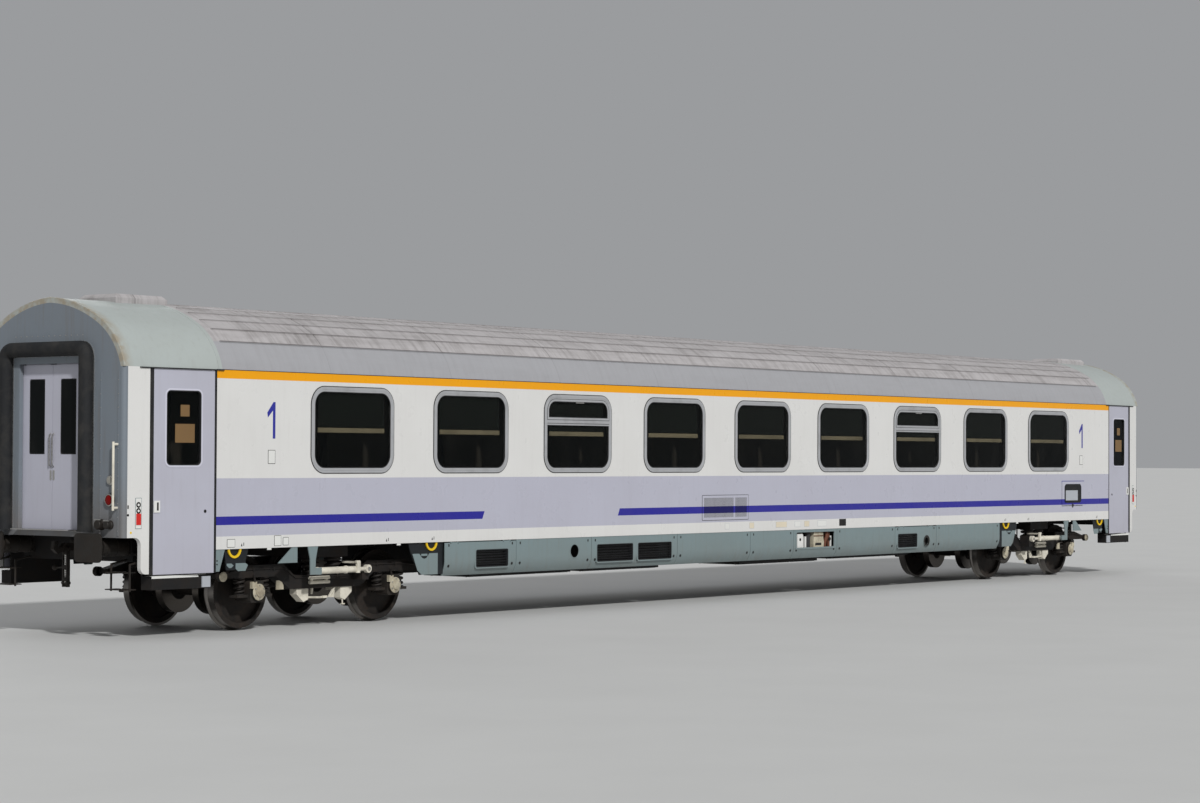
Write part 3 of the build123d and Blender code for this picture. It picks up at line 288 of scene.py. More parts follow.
def painted(name, base, rough=0.4, soil=0.1, foot=None):
    """Paint on sheet metal: fading and streaks, uneven gloss, orange peel and slightly wavy sheets."""
    look = Look(name, base, rough, coat=0.05, specular=0.35)
    weather(look, soil, foot=foot)
    look.rough(look.ramp(look.noise(7, detail=5), 0.3, 0.7, rough - 0.08, rough + 0.14))
    look.bump(look.noise(150, detail=2), 0.00015, 0.35)
    look.bump(look.noise(1.7, detail=2), 0.0036, 0.25)
    return look


def livery():
    """The side walls' bands and stripe by height, with white corner pillars and a lining inside."""
    look = Look("livery_paint", WHITE, rough=0.34, coat=0.05, specular=0.3)
    look.over(look.within(look.height, SILL_TOP, BELT_TOP), LILAC)
    start = look.plus(look.x, STRIPE_SLANT * STRIPE[0])
    slanted = look.math("MULTIPLY_ADD", look.height, -STRIPE_SLANT, start)
    gap = look.times(look.within(slanted, *STRIPE_GAP), look.below(look.y, 0.0))
    look.over(look.times(look.within(look.height, *STRIPE), look.minus(1.0, gap)), BLUE)
    look.over(look.above(look.height, CANT), ORANGE)
    look.over(look.above(look.length, DOOR_START + 0.3), WHITE)
    weather(look, soil=0.10, patchy=0.15, foot=1.25)
    lining = look.below(look.across, HALF_WIDTH - WALL + 0.002)
    look.over(look.times(lining, look.below(look.length, DOOR_START)), INSIDE)
    look.rough(look.ramp(look.noise(6, detail=5), 0.3, 0.7, 0.24, 0.46))
    look.bump(look.noise(1.5, (1, 1, 1.6), 1), 0.004, 0.3)
    seam = look.ramp(look.wave(look.plus(look.x, PITCH / 2), PITCH), 0.99994, 1.0)
    look.bump(look.minus(1.0, seam), 0.0012, 0.5)
    look.bump(look.noise(180, detail=2), 0.00015, 0.3)
    return look


def roof_arc(look):
    """The distance from the crown along the roof's two arcs, worked out from Y and the height."""
    crown = look.math("ARCTAN2", look.across, look.minus(look.height, CROWN_CENTRE))
    crown = look.times(crown, CROWN_RADIUS)
    up = look.minus(look.height, GUTTER - SHOULDER_DROP)
    turned = look.math("ARCTAN2", look.minus(look.across, SHOULDER_OUT), up)
    start = ARC_JOINT * (CROWN_RADIUS - SHOULDER_RADIUS)
    shoulder = look.math("MULTIPLY_ADD", turned, SHOULDER_RADIUS, start)
    lower = look.above(look.across, CROWN_RADIUS * math.sin(ARC_JOINT))
    return look.plus(look.times(crown, look.minus(1.0, lower)), look.times(shoulder, lower))


def centre_roof_paint():
    """Streaked grey panels between ribs darkened by dirt and painted shadow, above a smooth bluish band along
    each gutter.
    """
    look = Look("roof_centre_paint", ROOF_GREY, rough=0.6)
    arc = roof_arc(look)
    band = look.above(arc, ROOF_BAND_START)
    look.over(band, ROOF_BAND)
    streaks = look.ramp(look.noise(2.2, (0.35, 2.6, 2.6), 7, 0.65), 0.42, 0.75, 0, 0.34)
    runs = look.ramp(look.noise(3.0, (4.0, 0.5, 0.5), 6, 0.7), 0.46, 0.74, 0, 0.5)
    look.over(look.times(look.plus(streaks, runs), look.ramp(band, 0, 1, 1, 0.25)), ROOF_DIRT)
    # Dark lines at the ribs: dirt with painted shadow along each rib
    ribs = look.ramp(look.wave(look.minus(arc, 0.276), RIB_PITCH), 0.975, 0.995)
    ribs = look.times(ribs, look.below(arc, ROOF_BAND_START + 0.044))
    ribs = look.times(ribs, look.below(look.length, HALF_BODY - 1.6))
    look.over(look.times(ribs, 0.75), RIB_SHADE_AND_DIRT)
    sheets = look.wave(look.minus(look.x, PITCH / 2 + ROOF_SEAM_SHIFT), PITCH)
    sheets = look.ramp(sheets, 0.99985, 0.99998)
    look.over(look.times(sheets, look.ramp(band, 0, 1, 0.6, 0.15)), RIB_SHADE_AND_DIRT)
    look.rough(look.ramp(look.noise(5, detail=5), 0.3, 0.7, 0.45, 0.75))
    look.bump(look.noise(2.4, detail=2), 0.006, 0.3)
    look.bump(look.noise(90, detail=3), 0.0006, 0.4)
    return look


def end_roof_paint():
    """Smooth greenish grey, with a tan edge at the coach's end."""
    look = painted("roof_end_paint", ROOF_END, 0.5, 0.22)
    edge = look.ramp(look.length, HALF_BODY - 0.16, HALF_BODY - 0.01)
    edge = look.times(edge, look.ramp(look.noise(9), 0.3, 0.6))
    look.over(look.times(edge, 0.7), ROOF_EDGE)
    return look


def flap_paint():
    """The skirts' paint, with the grilles that belong to the flaps dark."""
    look = painted("flap_paint", *SKIRT)
    holes = 0.0
    for start, end, foot, top, flap in GRILLES:
        if flap:
            here = look.times(look.within(look.x, start, end), look.within(look.height, foot, top))
            holes = look.math("MAXIMUM", here, holes)
    look.over(holes, srgb(40, 42, 44))
    return look


def fairing_paint():
    """The skirts' paint, with the plates behind the lifting hooks and at the skirts' ends nearly black."""
    look = painted("fairing_paint", *SKIRT)
    by_hook = look.within(look.length, DOOR_START - 0.590, DOOR_START - 0.180)
    look.over(look.math("MAXIMUM", by_hook, look.within(look.length, 7.471, 8.170)), srgb(24, 28, 31))
    return look


def louvre_paint():
    """The louvre's slats: grey, with the stripe carried across them in a darker blue that is painted shade
    among the slats.
    """
    look = painted("louvre_paint", srgb(172, 172, 180), 0.5, 0.3)
    # The darker blue is the stripe's paint with painted shade among the slats
    look.over(look.within(look.height, *STRIPE), srgb(34, 32, 104))
    return look


def rusty(name, base, amount=0.6, dust=BRAKE_DUST, rough=0.75, metal=0.0):
    """Painted or cast steel of the running gear, under brake dust and oily dirt."""
    look = Look(name, base, rough, metal, specular=0.35)
    patches = look.noise(4.5, detail=8, rough=0.68)
    look.over(look.ramp(patches, 0.42, 0.72, 0, amount), dust)
    look.over(look.ramp(look.noise(1.9, detail=5), 0.58, 0.72, 0, 0.5), OIL)
    look.rough(look.ramp(patches, 0.3, 0.7, rough - 0.15, rough + 0.15))
    look.bump(look.noise(60, detail=5, rough=0.7), 0.002, 0.5)
    return look


def wheel_steel():
    """Bright tread, dark dusty web and ringed brake discs, by the distance from the nearest axle."""
    look = Look("wheel_steel", srgb(24, 22, 20), rough=0.45, metal=0.85)
    along = look.minus(look.math("ABSOLUTE", look.minus(look.length, PIVOT)), AXLE)
    up = look.minus(look.z, WHEEL_RADIUS + RAIL)
    radius = look.math("SQRT", look.plus(look.times(along, along), look.times(up, up)))
    look.over(look.ramp(look.noise(6, detail=8, rough=0.7), 0.35, 0.75), BRAKE_DUST)
    on_disc = look.times(look.within(radius, 0.14, 0.31), look.below(look.across, 0.45))
    look.over(on_disc, look.mix(look.wave(radius, 0.006), srgb(104, 100, 96), srgb(80, 74, 68)))
    tread = look.above(radius, WHEEL_RADIUS - 0.004)
    look.over(tread, srgb(122, 118, 114))
    shine = look.math("MAXIMUM", tread, on_disc)
    look.put(look.ramp(shine, 0, 1, 0.15, 0.95), look.shader["Metallic"])
    look.rough(look.ramp(shine, 0, 1, 0.8, 0.28))
    look.bump(look.noise(70, detail=5), 0.0015, 0.5)
    return look


def rubber():
    """Black rubber with pale dust in patches."""
    look = Look("rubber", srgb(30, 31, 33), rough=0.75, specular=0.3)
    dust = look.noise(5, detail=7, rough=0.65)
    look.over(look.ramp(dust, 0.45, 0.8, 0, 0.35), srgb(92, 88, 82))
    look.rough(look.ramp(dust, 0.3, 0.7, 0.6, 0.9))
    look.bump(look.noise(220, detail=3), 0.0004, 0.5)
    return look


def metal(name, base, rough, brushed=(1, 1, 1), shine=1.0):
    """Bare metal with a fine grain and dull stains."""
    look = Look(name, base, rough, shine)
    grain = look.noise(60, brushed)
    look.over(look.ramp(look.noise(3.5, detail=6), 0.5, 0.8, 0, 0.4), srgb(110, 108, 104))
    look.rough(look.ramp(grain, 0.3, 0.7, rough - 0.1, rough + 0.15))
    look.bump(grain, 0.0003, 0.4)
    return look


def glass(name, clear, tint=(0.003, 0.004, 0.004, 1), dusty=0.02):
    """Tinted safety glass: dark, glossy and a little dusty in patches."""
    look = Look(name, tint, rough=0.04, specular=0.10)
    dust = look.noise(2.6, (1, 1, 0.5), 7, 0.62)
    look.over(look.ramp(dust, 0.5, 0.85, 0, dusty), srgb(170, 165, 155))
    look.put(look.ramp(dust, 0.45, 0.85, 1 - clear, 1 - clear * 0.85), look.shader["Alpha"])
    look.rough(look.ramp(dust, 0.4, 0.8, 0.02, 0.10))
    return look


def cloth(name, base, accent, scale=0.004, sheen=0.4):
    """Woven upholstery: crossing threads, a sparse fleck and a soft nap."""
    look = Look(name, base, rough=0.9, specular=0.2)
    look.shader["Sheen Weight"].default_value = sheen
    weave = look.times(look.wave(look.plus(look.x, look.y), scale), look.wave(look.z, scale))
    look.over(look.ramp(weave, 0, 1, 0, 0.35), accent)
    fleck = look.ramp(look.texture("Voronoi", 45).outputs["Distance"], 0.05, 0.16, 1, 0)
    look.over(look.times(fleck, 0.6), accent)
    look.over(look.ramp(look.noise(3, detail=5), 0.45, 0.8, 0, 0.3), srgb(40, 38, 42))
    look.bump(weave, 0.0008, 0.6)
    look.bump(look.noise(28, detail=4), 0.003, 0.35)
    return look


# Name, colour and what painted() takes after it: roughness, soil and the dust's upper height
PAINTS = (
    ("door_paint", srgb(184, 184, 196), 0.36, 0.16, 1.2),
    ("end_wall_paint", srgb(120, 128, 136), 0.5, 0.7, 1.9),
    ("skirt_paint", *SKIRT),
    ("inside_panel", INSIDE, 0.5),
    ("hook_yellow", srgb(238, 196, 22), 0.45, 0.5),
    ("bar_cream", srgb(252, 236, 190), 0.45, 0.05),
    ("lip_paint", srgb(206, 206, 218), 0.4, 0.05),
    ("lid_grey", srgb(176, 180, 186)),
    ("pale_orange", srgb(224, 213, 190), 0.5),
    ("shell_grey", srgb(96, 94, 90), 0.5),
    ("arm_dark", srgb(44, 42, 42), 0.55),
    ("red_plastic", srgb(206, 40, 34), 0.35),
    ("black_plastic", srgb(13, 13, 14)),
    ("numeral_blue", srgb(44, 48, 150), 0.4, 0.05),
    ("blank_plate", srgb(228, 228, 224)),
    ("blank_card", srgb(206, 164, 112), 0.7),
)
# Name, colour and what rusty() takes after it: amount of dust, its colour, roughness and metal
STEELS = (
    ("underframe_black", srgb(22, 21, 21), 0.35),
    ("equipment_black", srgb(32, 32, 33), 0.3),
    ("tank_grey", srgb(52, 54, 55), 0.3),
    ("bogie_black", srgb(25, 23, 22)),
    ("axlebox_black", srgb(40, 37, 34), 0.8),
    ("brake_gear_cream", srgb(226, 220, 204), 0.35),
    ("cover_cream", srgb(196, 188, 166), 0.7, srgb(96, 78, 58)),
    ("spring_steel", srgb(36, 33, 31), 0.5, BRAKE_DUST, 0.6),
    ("cast_iron", srgb(44, 41, 38), 0.6, BRAKE_DUST, 0.6, 0.3),
    ("grille_dark", srgb(34, 35, 37), 0.2, BRAKE_DUST, 0.6),
    ("rusty_pipe", srgb(104, 62, 44), 0.7, srgb(72, 44, 32)),
)
LOOKS = [
    livery(), centre_roof_paint(), end_roof_paint(), flap_paint(), fairing_paint(), louvre_paint(),
    *(painted(*row) for row in PAINTS), *(rusty(*row) for row in STEELS), wheel_steel(), rubber(),
    metal("window_alloy", srgb(184, 185, 187), 0.45, (0.2, 1, 1), 0.35),
    metal("bright_steel", srgb(190, 188, 184), 0.3),
    glass("window_glass", 0.60), glass("door_glass", 0.60), glass("inner_glass", 0.8),
    glass("dark_pane", 0.0), glass("lamp_red", 0.0, srgb(120, 10, 8), 0.1),
    glass("lamp_clear", 0.0, srgb(150, 148, 140), 0.1),
    cloth("seat_cloth", srgb(52, 58, 104), srgb(122, 60, 70)),
    cloth("blind_cloth", srgb(50, 56, 48), srgb(66, 72, 62), 0.010, 0.05),
]
FINISH = {look.name: look.material for look in LOOKS}

# The nodes that get each finish
NODE_FINISHES = {
    "livery_paint": "side_wall_corridor side_wall_compartment wall_louvre service_hatch",
    "roof_centre_paint": "roof_centre roof_hoods",
    "roof_end_paint": "roof_ends",
    "end_wall_paint": "end_walls",
    "inside_panel": "ceiling corridor_wall cross_walls vestibule_walls",
    "door_paint": "side_doors end_door_1_left end_door_1_right end_door_2_left end_door_2_right",
    "rubber": "door_seals drip_rails gangway_rubbers",
    "window_alloy": "window_frames",
    "window_glass": "window_glass",
    "door_glass": "side_door_glass",
    "inner_glass": "corridor_glass",
    "seat_cloth": "seats",
    "blind_cloth": "blinds",
    "bright_steel": "luggage_racks end_door_tracks bridge_plate_1 bridge_plate_2",
    "black_plastic": "tail_lamps",
    "skirt_paint": "skirts skirt_hinges damper_brackets",
    "flap_paint": "skirt_flap_1_near skirt_flap_1_far skirt_flap_2_near skirt_flap_2_far",
    "fairing_paint": "sill_fairings",
    "grille_dark": "skirt_grilles",
    "hook_yellow": "lifting_hooks",
    "underframe_black": "underframe door_steps",
    "equipment_black": "underfloor_boxes",
    "tank_grey": "air_reservoirs",
    "cast_iron": "buffers draw_gear",
    "bogie_black": "bogie_frame_1 bogie_frame_2",
    "axlebox_black": "axleboxes_1 axleboxes_2",
    "spring_steel": "springs_1 springs_2",
    "brake_gear_cream": "end_handrails brakes_and_dampers_1 brakes_and_dampers_2",
    "wheel_steel": "wheelset_1 wheelset_2 wheelset_3 wheelset_4",
}
for finish, names in NODE_FINISHES.items():
    for name in names.split():
        nodes[name].data.materials.clear()
        nodes[name].data.materials.append(FINISH[finish])


def move(x, y, z):
    return Matrix.Translation((x, y, z))


def turn(degrees, axis):
    return Matrix.Rotation(math.radians(degrees), 4, axis)


def flip(x_sign, y_sign):
    return Matrix.Diagonal((x_sign, y_sign, 1, 1))


def out_of_side(x, y, z):
    """A place with its local Z axis towards -Y."""
    return move(x, y, z) @ turn(90, "X")


def out_of_end(x, y, z):
    """A place with its local Z axis towards +X."""
    return move(x, y, z) @ turn(90, "Y")


def on_skirt(x, z):
    """A place on the face of a skirt on the corridor side, turned with the face's lean."""
    drop = max(0.0, SKIRT_BEND - z)
    y = SKIRT_FACE + SKIRT_RADIUS - math.sqrt(SKIRT_RADIUS ** 2 - drop ** 2)
    return move(x, y, z) @ Matrix.Rotation(math.asin(drop / SKIRT_RADIUS), 4, "X")


UP = move(0, 0, RAIL)
CORNERS = [UP @ flip(x, y) for x in (1, -1) for y in (1, -1)]
SIDES = [UP, UP @ flip(1, -1)]
ENDS = [UP, UP @ flip(-1, 1)]
# Along the tapered end at +X and -Y: x from the door's start, y inward from the wall's face, z above the rail
DOOR_TAPER = Matrix.Rotation(math.atan(END_NARROWING / END_LENGTH), 4, "Z")
AT_DOOR = move(DOOR_START, -HALF_WIDTH, 0) @ DOOR_TAPER


class Shape:
    """Points and faces of one piece. Each form is set down through a placing matrix, in a named finish."""

    def __init__(self, finish):
        self.finish = finish
        self.points, self.faces, self.finishes = [], [], []

    def add(self, points, faces, at, finish=None):
        first = len(self.points)
        self.points += [at @ Vector(p) for p in points]
        order = -1 if at.to_3x3().determinant() < 0 else 1
        self.faces += [[first + i for i in face][::order] for face in faces]
        self.finishes += [finish or self.finish] * len(faces)

    def block(self, low, high, at=UP, finish=None):
        (x0, y0, z0), (x1, y1, z1) = low, high
        points = [(x0, y0, z0), (x1, y0, z0), (x1, y1, z0), (x0, y1, z0)]
        points += [(x, y, z1) for x, y, _ in points]
        faces = [(3, 2, 1, 0), (4, 5, 6, 7), (0, 1, 5, 4), (1, 2, 6, 5), (2, 3, 7, 6), (3, 0, 4, 7)]
        self.add(points, faces, at, finish)

    def plate(self, outline, depth, at=UP, finish=None):
        """An (x, z) outline with its face at y = 0 and its back at depth."""
        count = len(outline)
        points = [(x, 0, z) for x, z in outline] + [(x, depth, z) for x, z in outline]
        faces = [tuple(range(count)), tuple(range(2 * count - 1, count - 1, -1))]
        faces += [((i + 1) % count, i, i + count, (i + 1) % count + count) for i in range(count)]
        self.add(points, faces, at, finish)

    def ring(self, outer, inner, depth, at=UP, finish=None):
        """The band between two (x, z) loops with as many points, from y = 0 to depth."""
        n = len(outer)
        points = [(x, 0, z) for x, z in outer + inner]
        points += [(x, depth, z) for x, z in outer + inner]
        faces = []
        for i in range(n):
            j = (i + 1) % n
            faces += [(i, j, j + n, i + n), (i + 3 * n, j + 3 * n, j + 2 * n, i + 2 * n)]
            faces += [(j, i, i + 2 * n, j + 2 * n), (i + n, j + n, j + 3 * n, i + 3 * n)]
        self.add(points, faces, at, finish)

    def lathe(self, profile, at=UP, sides=20, finish=None):
        """Turns (radius, height) points round the local Z axis. A profile off the axis becomes a ring."""
        points, rows = [], []
        for radius, height in profile:
            if radius:
                rows.append([len(points) + i for i in range(sides)])
                steps = [2 * math.pi * i / sides for i in range(sides)]
                points += [(radius * math.cos(a), radius * math.sin(a), height) for a in steps]
            else:
                rows.append([len(points)] * sides)
                points.append((0, 0, height))
        if profile[0][0] and profile[-1][0]:
            rows.append(rows[0])
        faces = []
        for low, high in zip(rows, rows[1:]):
            for i in range(sides):
                j = (i + 1) % sides
                face = list(dict.fromkeys((low[i], low[j], high[j], high[i])))
                if len(face) > 2:
                    faces.append(face)
        self.add(points, faces, at, finish)

    def stud(self, sizes, at, sides=6, finish=None):
        """A small turned form: its radii at foot and top, and its heights at the edge and the middle."""
        foot, top, edge, middle = sizes
        self.lathe([(0, 0), (foot, 0), (top, edge), (0, middle)], at, sides, finish)

    def sweep(self, path, outline, normal, at=UP, finish=None, closed=False):
        """Pushes an (aside, out) outline along a path. Out starts along normal and never twists."""
        count, wide = len(path), len(outline)
        path = [Vector(p) for p in path]
        out = Vector(normal).normalized()
        points = []
        for i, here in enumerate(path):
            before = path[i - 1] if closed or i else here
            after = path[(i + 1) % count] if closed or i < count - 1 else here
            ahead, behind = (after - here), (here - before)
            ahead = ahead.normalized() if ahead.length else behind.normalized()
            behind = behind.normalized() if behind.length else ahead
            tangent = (ahead + behind).normalized()
            out = (out - tangent * out.dot(tangent)).normalized()
            aside = tangent.cross(out)
            widen = 1 / max(tangent.dot(ahead), 0.5)
            points += [here + aside * a * widen + out * b for a, b in outline]
        faces = []
        for i in range(count if closed else count - 1):
            j = (i + 1) % count
            for k in range(wide):
                m = (k + 1) % wide
                faces.append((i * wide + k, i * wide + m, j * wide + m, j * wide + k))
        if not closed:
            faces.append(tuple(range(wide - 1, -1, -1)))
            faces.append(tuple((count - 1) * wide + k for k in range(wide)))
        self.add(points, faces, at, finish)

    def tube(self, path, radius, normal, at=UP, finish=None, sides=8, closed=False):
        steps = [2 * math.pi * i / sides for i in range(sides)]
        outline = [(radius * math.cos(a), radius * math.sin(a)) for a in steps]
        self.sweep(path, outline, normal, at, finish, closed)

    def hoop(self, loop, y, radius, at, finish=None, sides=6):
        """A closed tube round an (x, z) loop."""
        self.tube([(x, y, z) for x, z in loop], radius, (0, -1, 0), at, finish, sides, closed=True)

    def make(self, name, body="body", smooth=32):
        """The piece in the scene, its faces turned outward and its edges sharp above an angle."""
        mesh = bpy.data.meshes.new(name)
        mesh.from_pydata(self.points, [], self.faces)
        used = list(dict.fromkeys(self.finishes))
        for finish in used:
            mesh.materials.append(FINISH[finish])
        mesh.polygons.foreach_set("material_index", [used.index(finish) for finish in self.finishes])
        work = bmesh.new()
        work.from_mesh(mesh)
        bmesh.ops.recalc_face_normals(work, faces=work.faces)
        work.to_mesh(mesh)
        work.free()
        mesh.shade_smooth()
        mesh.set_sharp_from_angle(angle=math.radians(smooth))
        mesh.update()
        piece = linked(name, mesh)
        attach(piece, body)
        return piece


def linked(name, data):
    thing = bpy.data.objects.new(name, data)
    bpy.context.scene.collection.objects.link(thing)
    return thing


def rounded_loop(width, height, corner, steps=7, inset=0.0):
    """A rounded rectangle round the origin as (x, z) points, at so much inside its edge."""
    corner -= inset
    loop = []
    for x_sign, z_sign, start in ((1, -1, -90), (1, 1, 0), (-1, 1, 90), (-1, -1, 180)):
        for i in range(steps + 1):
            angle = math.radians(start + 90 * i / steps)
            x = x_sign * (width / 2 - inset - corner) + corner * math.cos(angle)
            z = z_sign * (height / 2 - inset - corner) + corner * math.sin(angle)
            loop.append((x, z))
    return loop


def window_loop(inset):
    return rounded_loop(WINDOW_WIDTH, WINDOW_HEIGHT, WINDOW_CORNER, 9, inset)


def hopper_loop(inset, steps=7):
    """The hopper's opening, rounded at the top, at so much inside its edge."""
    edge = WINDOW_FRAME + inset
    half, top, corner = WINDOW_WIDTH / 2 - edge, WINDOW_HEIGHT / 2 - edge, WINDOW_CORNER - edge
    loop = [(-half, HOPPER_FOOT + inset), (half, HOPPER_FOOT + inset)]
    for side, start in ((1, 0), (-1, 90)):
        for i in range(steps + 1):
            angle = math.radians(start + 90 * i / steps)
            x = side * (half - corner) + corner * math.cos(angle)
            loop.append((x, top - corner + corner * math.sin(angle)))
    return loop


def make_camera():
    data = bpy.data.cameras.new("camera")
    data.sensor_fit = "HORIZONTAL"
    data.sensor_width = SENSOR_WIDTH
    data.lens = CAMERA_LENS
    data.clip_end = CAMERA_REACH
    camera = linked("camera", data)
    turned = turn(-CAMERA_YAW, "Z") @ turn(90 + CAMERA_PITCH, "X") @ turn(CAMERA_ROLL, "Z")
    camera.matrix_world = move(*CAMERA_PLACE) @ turned
    bpy.context.scene.camera = camera


def make_stage():
    """The pale floor, the light from all round, and the key and fill suns."""
    mesh = bpy.data.meshes.new("floor")
    corners = ((-1, -1), (1, -1), (1, 1), (-1, 1))
    mesh.from_pydata([(x * FLOOR_REACH, y * FLOOR_REACH, 0) for x, y in corners], [], [(0, 1, 2, 3)])
    look = Look("floor_pale", srgb(206, 206, 204), rough=0.85, specular=0.2)
    look.over(look.ramp(look.noise(0.6, detail=6), 0.35, 0.7, 0, 0.2), srgb(190, 190, 188))
    mesh.materials.append(look.material)
    linked("floor", mesh)
    world = bpy.data.worlds.new("studio")
    bpy.context.scene.world = world
    world.use_nodes = True
    background = world.node_tree.nodes["Background"]
    background.inputs["Color"].default_value = SKY_COLOUR
    background.inputs["Strength"].default_value = SKY_STRENGTH
    for name, energy, direction, width in SUNS:
        data = bpy.data.lights.new(name, "SUN")
        data.energy = energy
        data.angle = math.radians(width)
        lamp = linked(name, data)
        lamp.rotation_mode = "QUATERNION"
        lamp.rotation_quaternion = Vector(direction).to_track_quat("-Z", "Y")
    bpy.context.scene.view_settings.view_transform = "Standard"


def window_trims():
    """A dark bead round each frame, a gasket at the glass and the hoppers' tilting frames and latches."""
    trims = Shape("rubber")
    bead, lip, tilting, groove = 0.007, 0.012, 0.032, 0.003
    half = WINDOW_WIDTH / 2 - WINDOW_FRAME
    latch_top = WINDOW_HEIGHT / 2 - WINDOW_FRAME - tilting - 0.014
    latch = rounded_loop(0.190, 0.016, 0.007, 3)
    groove_line = [(x, 0, HOPPER_FOOT - 0.050) for x in (-half, half)]
    for at in SIDES:
        for i, x in enumerate(WINDOWS):
            here = at @ move(x, -HALF_WIDTH, WINDOW_MIDDLE)
            trims.hoop(window_loop(-bead / 2), -0.002, bead, here, sides=8)
            edges = window_loop(WINDOW_FRAME), window_loop(WINDOW_FRAME + lip)
            trims.ring(*edges, 0.006, here @ move(0, -0.005, 0))
            trims.hoop(window_loop(WINDOW_FRAME * 0.55), FRAME_FACE, 0.0035, here, "window_alloy")
            if i in HOPPERS:
                front = here @ move(0, FRAME_FACE - 0.002, 0)
                trims.ring(hopper_loop(groove), hopper_loop(tilting), 0.010, front, "window_alloy")
                edges = hopper_loop(tilting), hopper_loop(tilting + lip)
                trims.ring(*edges, 0.006, front @ move(0, 0.003, 0))
                trims.hoop(hopper_loop(0), 0.001, groove, front)
                trims.tube(groove_line, groove, (0, -1, 0), front, sides=6)
                trims.plate(latch, 0.006, front @ move(0.03, 0, latch_top), "bright_steel")
    trims.make("window_trims")


def blind_fittings():
    """The cream bar at the foot of every blind, and the roller that it hangs from."""
    fittings = Shape("bar_cream")
    bar = [(0, 0), (0.004, -0.006), (0.5 * BLIND_BAR, -0.008), (BLIND_BAR - 0.004, -0.006), (BLIND_BAR, 0)]
    bar += [(BLIND_BAR - 0.004, 0.003), (0.004, 0.003)]
    along = [(-BLIND_HALF, 0, 0), (BLIND_HALF, 0, 0)]
    for at in SIDES:
        for x in WINDOWS:
            foot = at @ move(x, BLIND_INWARD - HALF_WIDTH, BLIND_FOOT - BLIND_BAR)
            fittings.sweep(along, bar, (0, 1, 0), foot)
            roller = at @ move(x, BLIND_INWARD + BLIND_ROLLER - HALF_WIDTH, BLIND_TOP)
            fittings.tube(along, BLIND_ROLLER, (0, 1, 0), roller, "bright_steel", 12)
    return fittings.make("blind_fittings")


def blinds():
    """The cloth of each half-drawn blind, a sheet that hangs from its roller in slight waves."""
    fittings = blind_fittings()
    columns, rows = 30, 10
    drop = BLIND_TOP - BLIND_FOOT
    starts = [row * (columns + 1) + column for row in range(rows) for column in range(columns)]
    faces = [(i, i + 1, i + columns + 2, i + columns + 1) for i in starts]
    for side, at in zip(("corridor", "compartment"), SIDES):
        for i, x in enumerate(WINDOWS):
            points = []
            for row in range(rows + 1):
                for column in range(columns + 1):
                    u, v = column / columns, row / rows
                    wave = 0.0022 * math.sin(17 * u + 1.7 * i) * math.sin(math.pi * v)
                    wave += 0.0012 * math.sin(41 * u + i)
                    y = BLIND_INWARD - HALF_WIDTH + wave * (1 - 0.5 * v)
                    points.append((x + BLIND_HALF * (2 * u - 1), y, BLIND_FOOT + drop * v))
            hanging = Shape("blind_cloth")
            hanging.add(points, faces, at)
            piece = hanging.make(f"blind_{side}_{i + 1}", smooth=180)
            thick = piece.modifiers.new("thickness", "SOLIDIFY")
            thick.thickness = 0.0008
            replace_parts(piece, "blinds")


# Low corner, high corner and finish of the flat fittings at a door, in the place AT_DOOR
DOOR_BLOCKS = (
    ((0.957, -0.003, DOOR_BOTTOM), (1.012, 0.006, GUTTER - 0.006), "rubber"),
    ((-0.006, -0.001, DOOR_BOTTOM), (0.020, 0.007, GUTTER - 0.006), "rubber"),
    ((0.857, -0.008, 1.471), (0.949, 0.004, 1.611), "blank_plate"),
    ((0.880, -0.0095, 1.495), (0.905, -0.008, 1.590), "black_plastic"),
    ((1.128, -0.003, 1.284), (1.220, 0, 1.646), "skirt_paint"),
    ((1.134, -0.004, 1.290), (1.214, 0, 1.640), "blank_plate"),
    ((1.140, -0.010, 1.330), (1.208, -0.004, 1.462), "red_plastic"),
    ((1.318, -0.003, 1.520), (1.334, 0, 1.560), "black_plastic"),
)


